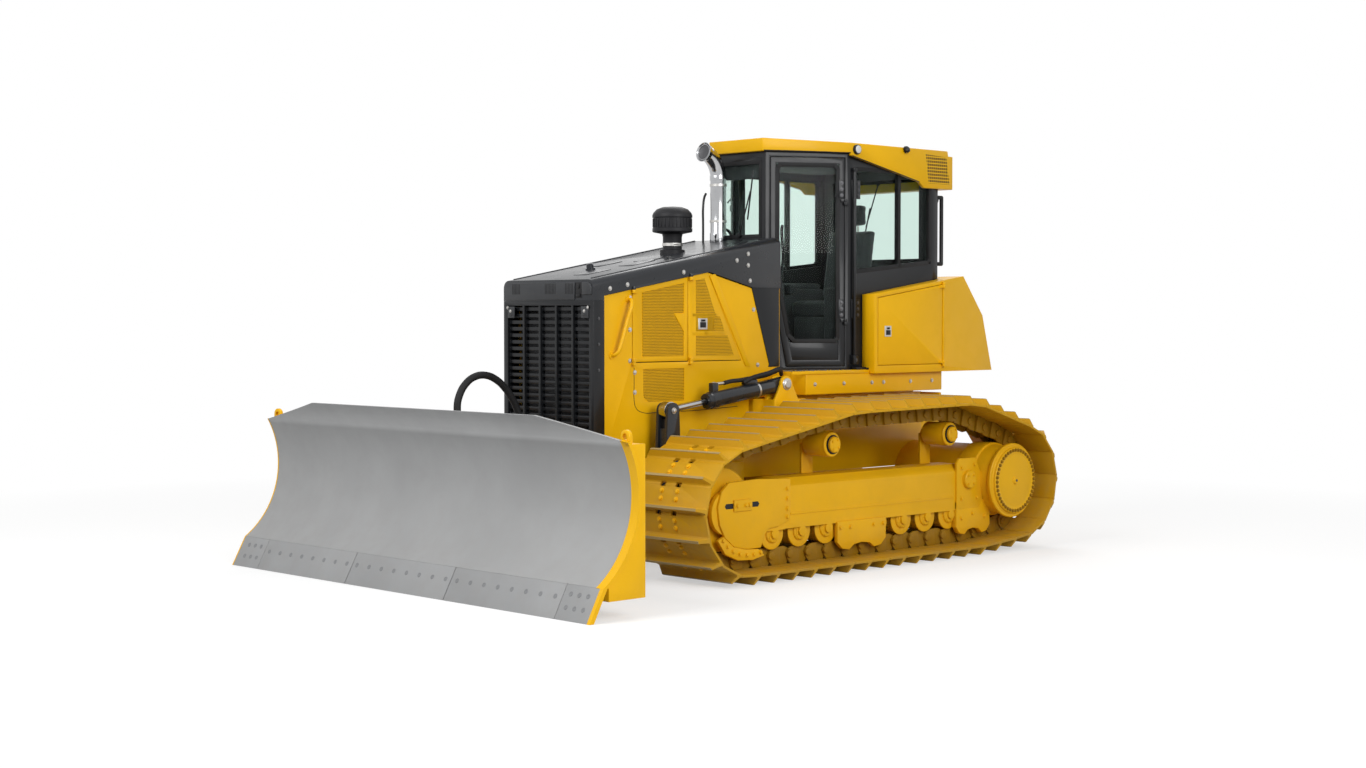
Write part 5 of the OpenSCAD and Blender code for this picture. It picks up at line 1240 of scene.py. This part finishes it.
DOOR_PARTS = [("door_kick_panel", lambda: [slab(KICK, "y", 0.004, 0.05, 0.004)], cab_charcoal),
              ("door_gasket", lambda: ring(PANE_OUTER, PANE_INNER, "y", -0.005, 0.022), rubber),
              ("door_hinge_plates", hinge_plates, cab_charcoal), ("door_hinge_bolts", hinge_bolts, dark_steel),
              ("door_handle", door_handle, plastic)]
for title, make, finish in DOOR_PARTS:
    each_side(title, lambda: to_door(make()), finish, "cab_door_%s")
print("cab doors dressed")

# %% [markdown]
# Each door pillar carries the fixed half of the hinges, a round rod beside them and, at its foot, the catch that holds
# the open door. A plate closes the cab's foot beside the hood.

# %% Door pillars
pillar = [rod((-1.137, 0.638, 1.52), (-1.137, 0.638, 2.98), 0.0125, 14),
          block((-1.165, 0.618, 1.46), (-1.110, 0.658, 1.53), 0.006),
          block((-1.152, 0.618, 2.955), (-1.118, 0.653, 2.985), 0.005)]
heads = [(-1.137, 0.6585, 1.495)]
for z in HINGES_Z:
    pillar.append(block((-1.212, 0.618, z + 0.030), (-1.112, 0.631, z + 0.175), 0.004))
    heads += [(-1.186, 0.6305, z + up) for up in HINGE_BOLTS_UP]
both("pillar_plates", pillar, cab_charcoal)
both("pillar_bolts", bolts(heads, OUT, 0.011, 0.007), dark_steel)
catch = [block((-1.225, 0.632, 1.418), (-1.105, 0.690, 1.440), 0.006),
         block((-1.300, 0.640, 1.418), (-1.210, 0.695, 1.434), 0.006)]
both("door_catches", catch, black)
foot_plate = slab([(-0.132, 2.062), (-0.150, 2.040), (-0.338, 1.470), (-0.330, 1.452), (-0.446, 1.452),
                   (-0.446, 2.062)], "y", 0.476, 0.4865, 0.003)
both("cab_foot_plates", [foot_plate], cab_charcoal)
print("door pillars dressed")

# %% [markdown]
# The fixed panes sit in the same kind of rubber ring. A bar divides each side window, and a wiper rests on the front
# and the rear pane.

# %% Windows and wipers
SIDE_OUTER = [(-1.144, 2.185), (-1.162, 2.165), (-2.060, 2.252), (-2.096, 2.290), (-2.096, 2.960), (-2.060, 2.996),
              (-1.180, 2.996), (-1.144, 2.960)]
SIDE_INNER = [(-1.176, 2.212), (-1.188, 2.200), (-2.046, 2.284), (-2.064, 2.304), (-2.064, 2.948), (-2.048, 2.964),
              (-1.190, 2.964), (-1.176, 2.948)]
divider = block((-1.712, 0.580, 2.222), (-1.680, 0.6225, 2.98), 0.003)
both("side_gaskets", ring(SIDE_OUTER, SIDE_INNER, "y", 0.590, 0.6225) + [divider], rubber)


def pane_ring(x, half, low, high):
    """A gasket round an upright pane across the machine."""
    outer = [(-half, low), (half, low), (half, high), (-half, high)]
    inner = [(-half + 0.03, low + 0.03), (half - 0.03, low + 0.03), (half - 0.03, high - 0.03),
             (-half + 0.03, high - 0.03)]
    return ring(outer, inner, "x", x - 0.01, x + 0.01)


piece("end_gaskets", pane_ring(-0.507, 0.248, 2.436, 3.034) + pane_ring(-2.173, 0.474, 2.276, 2.964), rubber)
wipers = [rod((-0.488, 0.02, 2.462), (-0.482, 0.145, 2.80), 0.0055, 8),
          rod((-0.492, 0.105, 2.58), (-0.492, 0.165, 2.955), 0.006, 8),
          rod((-0.502, 0.02, 2.462), (-0.474, 0.02, 2.462), 0.018, 14),
          rod((-2.190, -0.02, 2.940), (-2.194, -0.16, 2.58), 0.0055, 8),
          rod((-2.189, -0.11, 2.74), (-2.189, -0.19, 2.42), 0.006, 8),
          rod((-2.178, -0.02, 2.940), (-2.205, -0.02, 2.940), 0.018, 14)]
piece("wipers", wipers, black)
print("windows dressed")

# %% [markdown]
# The roof's rear corners carry the air conditioner's vents, with rows of square holes. As with the perforated sheet,
# the holes are drawn by the finish, near black as painted shade. A round work lamp and a black knob sit on each side
# of the roof.

# %% Roof
def square_grille(name, slot, color, pitch):
    """Painted sheet with rows of square vents, the vents painted near black as shade."""
    finish = Finish(name, slot)
    across = (finish.split("X") * (1 / pitch)).sum("FRACT") - 0.5
    up = (finish.split("Z") * (1 / pitch)).sum("FRACT") - 0.5
    hole = (across.sum("ABSOLUTE") < 0.35) * (up.sum("ABSOLUTE") < 0.33)
    cloud = finish.noise(8.0)
    sheet = finish.blend(cloud, shade(color, 0.95), shade(color, 1.02))
    # The vents get painted shade: near-black squares.
    finish.set("Base Color", finish.blend(hole, sheet, (0.006, 0.006, 0.006, 1)))
    finish.set("Roughness", finish.range(cloud, 0.3, 0.7, 0.4, 0.5))
    return finish


vent_yellow = square_grille("vented_yellow", "yellow_paint", YELLOW, 0.026)
BOX_SIDE = [(-1.985, 3.137), (-2.245, 3.125), (-2.285, 2.905), (-2.022, 2.905)]
both("roof_vents", [slab(BOX_SIDE, "y", 0.6530, 0.6548, 0)], vent_yellow)
KNOB = [(0.0, 0.046), (0.02, 0.046), (0.03, 0.036), (0.03, 0.022), (0.014, 0.012), (0.014, -0.004), (0.0, -0.004)]
both("roof_knobs", [turned(KNOB, (-1.725, 0.646, 3.142), (0, 0.8, 0.6), 20)], black)
seals = [pipe([(-0.47, 0.300, 3.103), (-1.08, 0.644, 3.100)], 0.005, 2),
         pipe([(-1.09, 0.655, 3.075), (-1.90, 0.655, 2.911)], 0.004, 2)]
both("roof_seals", seals, rubber)
LENS = [(0.0, 0.010), (0.018, 0.009), (0.029, 0.004), (0.031, 0.0), (0.0, 0.0)]
both("side_lamp_lenses", [turned(LENS, (-1.13, 0.6795, 3.125), OUT, 28)], lens)
REAR_LENS = [(0.0, 0.012), (0.022, 0.011), (0.038, 0.006), (0.042, 0.0), (0.0, 0.0)]
both("rear_lamp_lenses", [turned(REAR_LENS, (-2.2495, 0.525, 2.79), (-1, 0, 0), 28)], lens)
print("roof dressed")

# %% [markdown]
# The operator's seat is foam under fabric. Each pad starts as a slightly small solid, is remeshed evenly, and swells
# under a little pressure as cloth does. The points' travel is capped, so that the pad stays in the room that its solid
# holds. The fabric has a fine weave in its colour and bump.

# %% Seat pads
def woven(name, slot, color, pitch):
    """Seat fabric: two crossing sets of threads, with a soft sheen."""
    finish = Finish(name, slot)
    threads = []
    for axis in ("X", "Y", "Z"):
        threads.append((finish.split(axis) * (math.tau / pitch)).sum("SINE"))
    weave = threads[1] * (threads[0] + threads[2]) * 0.5
    cloud = finish.noise(9.0, 4.0)
    tone = finish.blend(finish.range(weave, -0.8, 0.8), shade(color, 0.7), shade(color, 1.35))
    finish.set("Base Color", finish.blend(finish.range(cloud, 0.3, 0.7, 0.0, 0.3), tone, shade(color, 0.75)))
    finish.set("Roughness", finish.range(cloud, 0.3, 0.7, 0.78, 0.92))
    finish.set("Sheen Weight", 0.25)
    finish.bump(weave, 0.0008, 0.5)
    return finish


fabric = woven("seat_fabric", "seat_fabric", (0.035, 0.036, 0.04), 0.0045)
PAD_VOXEL = 0.008
PAD_TRAVEL = 0.016


def pad(name, part):
    """A foam pad: even mesh, swollen as cloth, capped and smoothed once."""
    pick(part)
    even = part.modifiers.new("even", "REMESH")
    even.mode = "VOXEL"
    even.voxel_size = PAD_VOXEL
    bpy.ops.object.modifier_apply(modifier=even.name)
    start = [corner.co.copy() for corner in part.data.vertices]
    swell = part.modifiers.new("swell", "CLOTH")
    swell.settings.use_pressure = True
    swell.settings.uniform_pressure_force = 4
    swell.settings.effector_weights.gravity = 0
    swell.settings.quality = 3
    for step in range(1, 21):
        scene.frame_set(step)
    bpy.ops.object.modifier_apply(modifier=swell.name)
    for corner, was in zip(part.data.vertices, start):
        moved = corner.co - was
        if moved.length > PAD_TRAVEL:
            corner.co = was + moved.normalized() * PAD_TRAVEL
    scene.frame_set(1)
    finer = part.modifiers.new("finer", "SUBSURF")
    finer.levels = finer.render_levels = 1
    bpy.ops.object.modifier_apply(modifier=finer.name)
    made = piece(name, [part], fabric, "tractor", 60)
    return made


def pinched(part, amount):
    """Pulls a pad's sides in between its corners, as a sewn cover does."""
    pick(part)
    edit()
    bpy.ops.mesh.subdivide(number_cuts=7)
    leave()
    xs = [c.co.x for c in part.data.vertices]
    half_x, mid_x = (max(xs) - min(xs)) / 2, (max(xs) + min(xs)) / 2
    half_y = max(c.co.y for c in part.data.vertices)
    for corner in part.data.vertices:
        u, v = (corner.co.x - mid_x) / half_x, corner.co.y / half_y
        corner.co.y *= 1 - amount * (1 - u * u) / half_y
        corner.co.x -= math.copysign(amount, u) * abs(u) * (1 - v * v)
    return part


base_pad = block((-1.795, -0.243, 1.842), (-1.330, 0.243, 1.945), 0.025)
back_pad = slab([(-1.800, 1.975), (-1.700, 1.975), (-1.790, 2.540), (-1.885, 2.540)], "y", -0.235, 0.235, 0.025)
head_pad = slab([(-1.884, 2.580), (-1.795, 2.580), (-1.800, 2.742), (-1.884, 2.742)], "y", -0.122, 0.122, 0.022)
cushion = pad("seat_cushion", pinched(base_pad, 0.010))
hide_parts("seat")
pad("seat_back", back_pad)
pad("seat_headrest", head_pad)
bars = [rod((-1.84, y, 2.50), (-1.84, y, 2.62), 0.008, 12) for y in (-0.06, 0.06)]
piece("headrest_bars", bars, bolt_steel)
print("seat padded")

# %% [markdown]
# The operator's controls are an armrest and a lever with a rubber boot on each side, a display on a stalk, the cab's
# roof lining with a mirror, and two pedals.

# %% Controls
CONSOLE_Y = (-0.365, 0.365)
BOOT = [(0.0, 0.055), (0.014, 0.055), (0.024, 0.040), (0.030, 0.028), (0.042, 0.016), (0.050, 0.002), (0.050, -0.002),
        (0.0, -0.002)]
GRIP = [(0.0, 0.175), (0.016, 0.172), (0.025, 0.160), (0.027, 0.140), (0.021, 0.115), (0.020, 0.075), (0.024, 0.055),
        (0.0, 0.050)]
armrests = [block((-1.78, y - 0.07, 2.055), (-1.42, y + 0.07, 2.105), 0.018) for y in CONSOLE_Y]
piece("armrests", armrests, trim)
for title, profile, finish in (("lever_boots", BOOT, rubber), ("lever_grips", GRIP, plastic)):
    piece(title, [turned(profile, (-1.30, y, 2.058), (0.1, 0, 1), 24) for y in CONSOLE_Y], finish)
display = [block((-0.752, -0.125, 2.176), (-0.715, 0.125, 2.345), 0.008),
           block((-0.76, -0.03, 2.10), (-0.70, 0.03, 2.20), 0.006)]
display += [block((-0.80, y - 0.03, 2.0), (-0.72, y + 0.03, 2.08), 0.008) for y in (-0.31, 0.31)]
piece("display_case", display, plastic)
screen = clear("screen", "glass", (0.02, 0.03, 0.035), 0.06)
piece("display_screen", [block((-0.7545, -0.105, 2.195), (-0.7515, 0.105, 2.330), 0.001)], screen)
lining = [block((-0.585, -0.235, 2.90), (-0.562, 0.235, 3.03), 0.006),
          block((-1.95, -0.50, 3.022), (-0.72, 0.20, 3.052), 0.006),
          block((-0.640, 0.150, 2.60), (-0.612, 0.235, 2.80), 0.01),
          rod((-0.626, 0.20, 2.80), (-0.60, 0.22, 3.03), 0.006, 8)]
piece("cab_lining", lining, trim)
PEDAL = [(-0.66, 1.52), (-0.64, 1.53), (-0.70, 1.66), (-0.72, 1.65)]
piece("pedals", [slab(PEDAL, "y", y - 0.04, y + 0.04, 0.004) for y in (-0.12, 0.12)], rubber)
print("controls made")

# %% [markdown]
# What is left are the fittings of the tank, platform and frame. The tank has a cover strip over each door's hinge, a
# latch on each door and two filler caps.

# %% Tank fittings
FILLER = [(0.0, 0.062), (0.05, 0.062), (0.058, 0.054), (0.06, 0.02), (0.075, 0.018), (0.078, 0.0), (0.0, 0.0)]


def tank_latch_plate():
    return [block((-1.445, 0.7485, 1.675), (-1.365, 0.7545, 1.760), 0.004)]


def tank_latch():
    return [block((-1.430, 0.753, 1.688), (-1.380, 0.7595, 1.726), 0.003),
            block((-1.418, 0.754, 1.732), (-1.392, 0.764, 1.748), 0.003)]


both("tank_hinge_strips", [block((-2.112, 0.744, 1.470), (-2.088, 0.7555, 2.085), 0.003)], yellow)
each_side("tank_latch_plate", tank_latch_plate, bolt_steel, "tank_door_%s")
each_side("tank_latch", tank_latch, black, "tank_door_%s")
piece("tank_caps", [turned(FILLER, (-2.24, y, 2.142), (-0.14, 0, 1), 32) for y in (0.42, -0.42)], black)
print("tank dressed")

# %% [markdown]
# The platform has bolts and a folded lip along its edge, and a tread of small slanted bars where the operator steps.

# %% Platform fittings
rail_bolts = [(x, 0.6945, 1.318) for x in (-0.62, -0.95, -1.28, -1.42, -1.75, -2.02)]
both("platform_bolts", bolts(rail_bolts, OUT, 0.012, 0.010), bolt_steel)
lips = [block((rear, 0.690, 1.394), (front, 0.704, 1.416), 0.004) for rear, front in ((-2.14, -1.26), (-1.235, -0.36))]
both("platform_lips", lips, yellow)
TREAD_TURN = 0.785
tread_moves = []
for i in range(10):
    for j, y in enumerate((0.655, 0.60, 0.545, 0.49)):
        slant = Matrix.Rotation(TREAD_TURN if (i + j) % 2 else -TREAD_TURN, 4, "Z")
        tread_moves.append(Matrix.Translation((-0.40 - 0.07 * i, y, 1.4195)) @ slant)
tread_bar = block((-0.006, -0.03, 0.0), (0.006, 0.03, 0.003), 0.001)
both("step_treads", copies(tread_bar, tread_moves), dark_steel)
print("tread bars", len(tread_moves))

# %% [markdown]
# The exhaust stack ends in a rolled lip round a dark mouth, a disc that stands for soot and painted shade inside the
# pipe. Two bands hold it, and a thin rail stands beside it.

# %% Exhaust stack
STACK_END = Vector((-0.2376, -0.12, 3.1006))
STACK_OUT = Vector((0.978, 0, 0.208))
RAIL = [(-0.325, -0.215, 2.398), (-0.325, -0.215, 2.55), (-0.325, -0.215, 2.68), (-0.345, -0.222, 2.76),
        (-0.372, -0.232, 2.79)]
LIP = [(0.0622, -0.035), (0.0650, -0.034), (0.0690, -0.012), (0.0770, 0.0), (0.0770, 0.005), (0.0720, 0.005),
       (0.0622, -0.008)]
SOOT_AND_SHADE = [(0.0, -0.006), (0.058, -0.006), (0.0615, -0.004), (0.0615, -0.014), (0.0, -0.014)]
STACK_BAND = [(0.0622, 0.0), (0.0665, 0.001), (0.0665, 0.020), (0.0622, 0.021)]
piece("stack_rail", [pipe(RAIL, 0.009, 3)], black)
piece("stack_lip", [turned(LIP, STACK_END, STACK_OUT, 40)], chrome)
# A dark disc in the mouth: soot, and painted shade inside the pipe.
piece("stack_mouth", [turned(SOOT_AND_SHADE, STACK_END, STACK_OUT, 40)], dark_steel)
bands = [turned(STACK_BAND, (-0.396, -0.12, z), (0, 0, 1), 36) for z in (2.56, 2.84)]
piece("stack_bands", bands, bolt_steel)
print("stack dressed")

# %% [markdown]
# At the rear are the frame's bolts, the drawbar's pin with its pull ring, and two steps. A cover is bolted on the
# tank's sloped back. It is drawn on an upright plane and then leaned onto the slope.

# %% Rear and drawbar
PIN_HEAD = [(0.0, 0.03), (0.03, 0.03), (0.036, 0.024), (0.036, 0.0), (0.0, 0.0)]
DRAW_X = -2.705
PULL_RING = [(-0.028, 0.985), (-0.034, 1.03), (0.0, 1.062), (0.034, 1.03), (0.028, 0.985)]
BACK_UP = Vector((0.126, 0, 0.45)).normalized()
BACK_OUT = Vector((-BACK_UP.z, 0, BACK_UP.x))
BACK_FRAME = Matrix(((BACK_OUT.x, 0, BACK_UP.x, -2.61), (0, -1, 0, 0), (BACK_OUT.z, 0, BACK_UP.z, 1.84), (0, 0, 0, 1)))
BACK_COVER = [(-0.43, -0.40), (0.43, -0.40), (0.46, -0.37), (0.46, -0.08), (0.43, -0.05), (-0.43, -0.05),
              (-0.46, -0.08), (-0.46, -0.37)]
PULL = [(0.004, -0.18), (0.040, -0.185), (0.046, -0.21), (0.046, -0.26), (0.040, -0.285), (0.004, -0.29)]


def on_back(name, parts, finish):
    """A piece drawn on an upright plane and leaned onto the tank's back."""
    for part in parts:
        part.data.transform(BACK_FRAME)
    piece(name, parts, finish)


rear_bolts = [(-2.2525, y, z) for y in (-0.33, -0.22, 0.22, 0.33) for z in (0.70, 0.90, 1.08)]
piece("rear_frame_bolts", bolts(rear_bolts, (-1, 0, 0), 0.014, 0.012), bolt_steel)
pin = [rod((DRAW_X, 0, 0.60), (DRAW_X, 0, 0.985), 0.0255, 24), turned(PIN_HEAD, (DRAW_X, 0, 0.960), (0, 0, 1), 24),
       pipe([(DRAW_X, y, z) for y, z in PULL_RING], 0.0075, 3)]
piece("drawbar_pin", pin, bolt_steel)
steps = [block((-2.20, y - 0.10, 1.19), (-2.17, y + 0.10, 1.215), 0.006) for y in (-0.55, 0.55)]
piece("rear_steps", steps, yellow)
on_back("tank_back_cover", [slab(BACK_COVER, "x", -0.002, 0.007, 0.003)], yellow)
heads = [(0.0065, y, z) for y in (-0.14, -0.425, 0.14, 0.425) for z in (-0.365, -0.085)]
on_back("tank_back_bolts", bolts(heads, (1, 0, 0), 0.012, 0.009), bolt_steel)
on_back("tank_back_pulls", [pipe([(x, y, z) for x, z in PULL], 0.008, 3) for y in (-0.26, 0.26)], black)
print("fittings made")
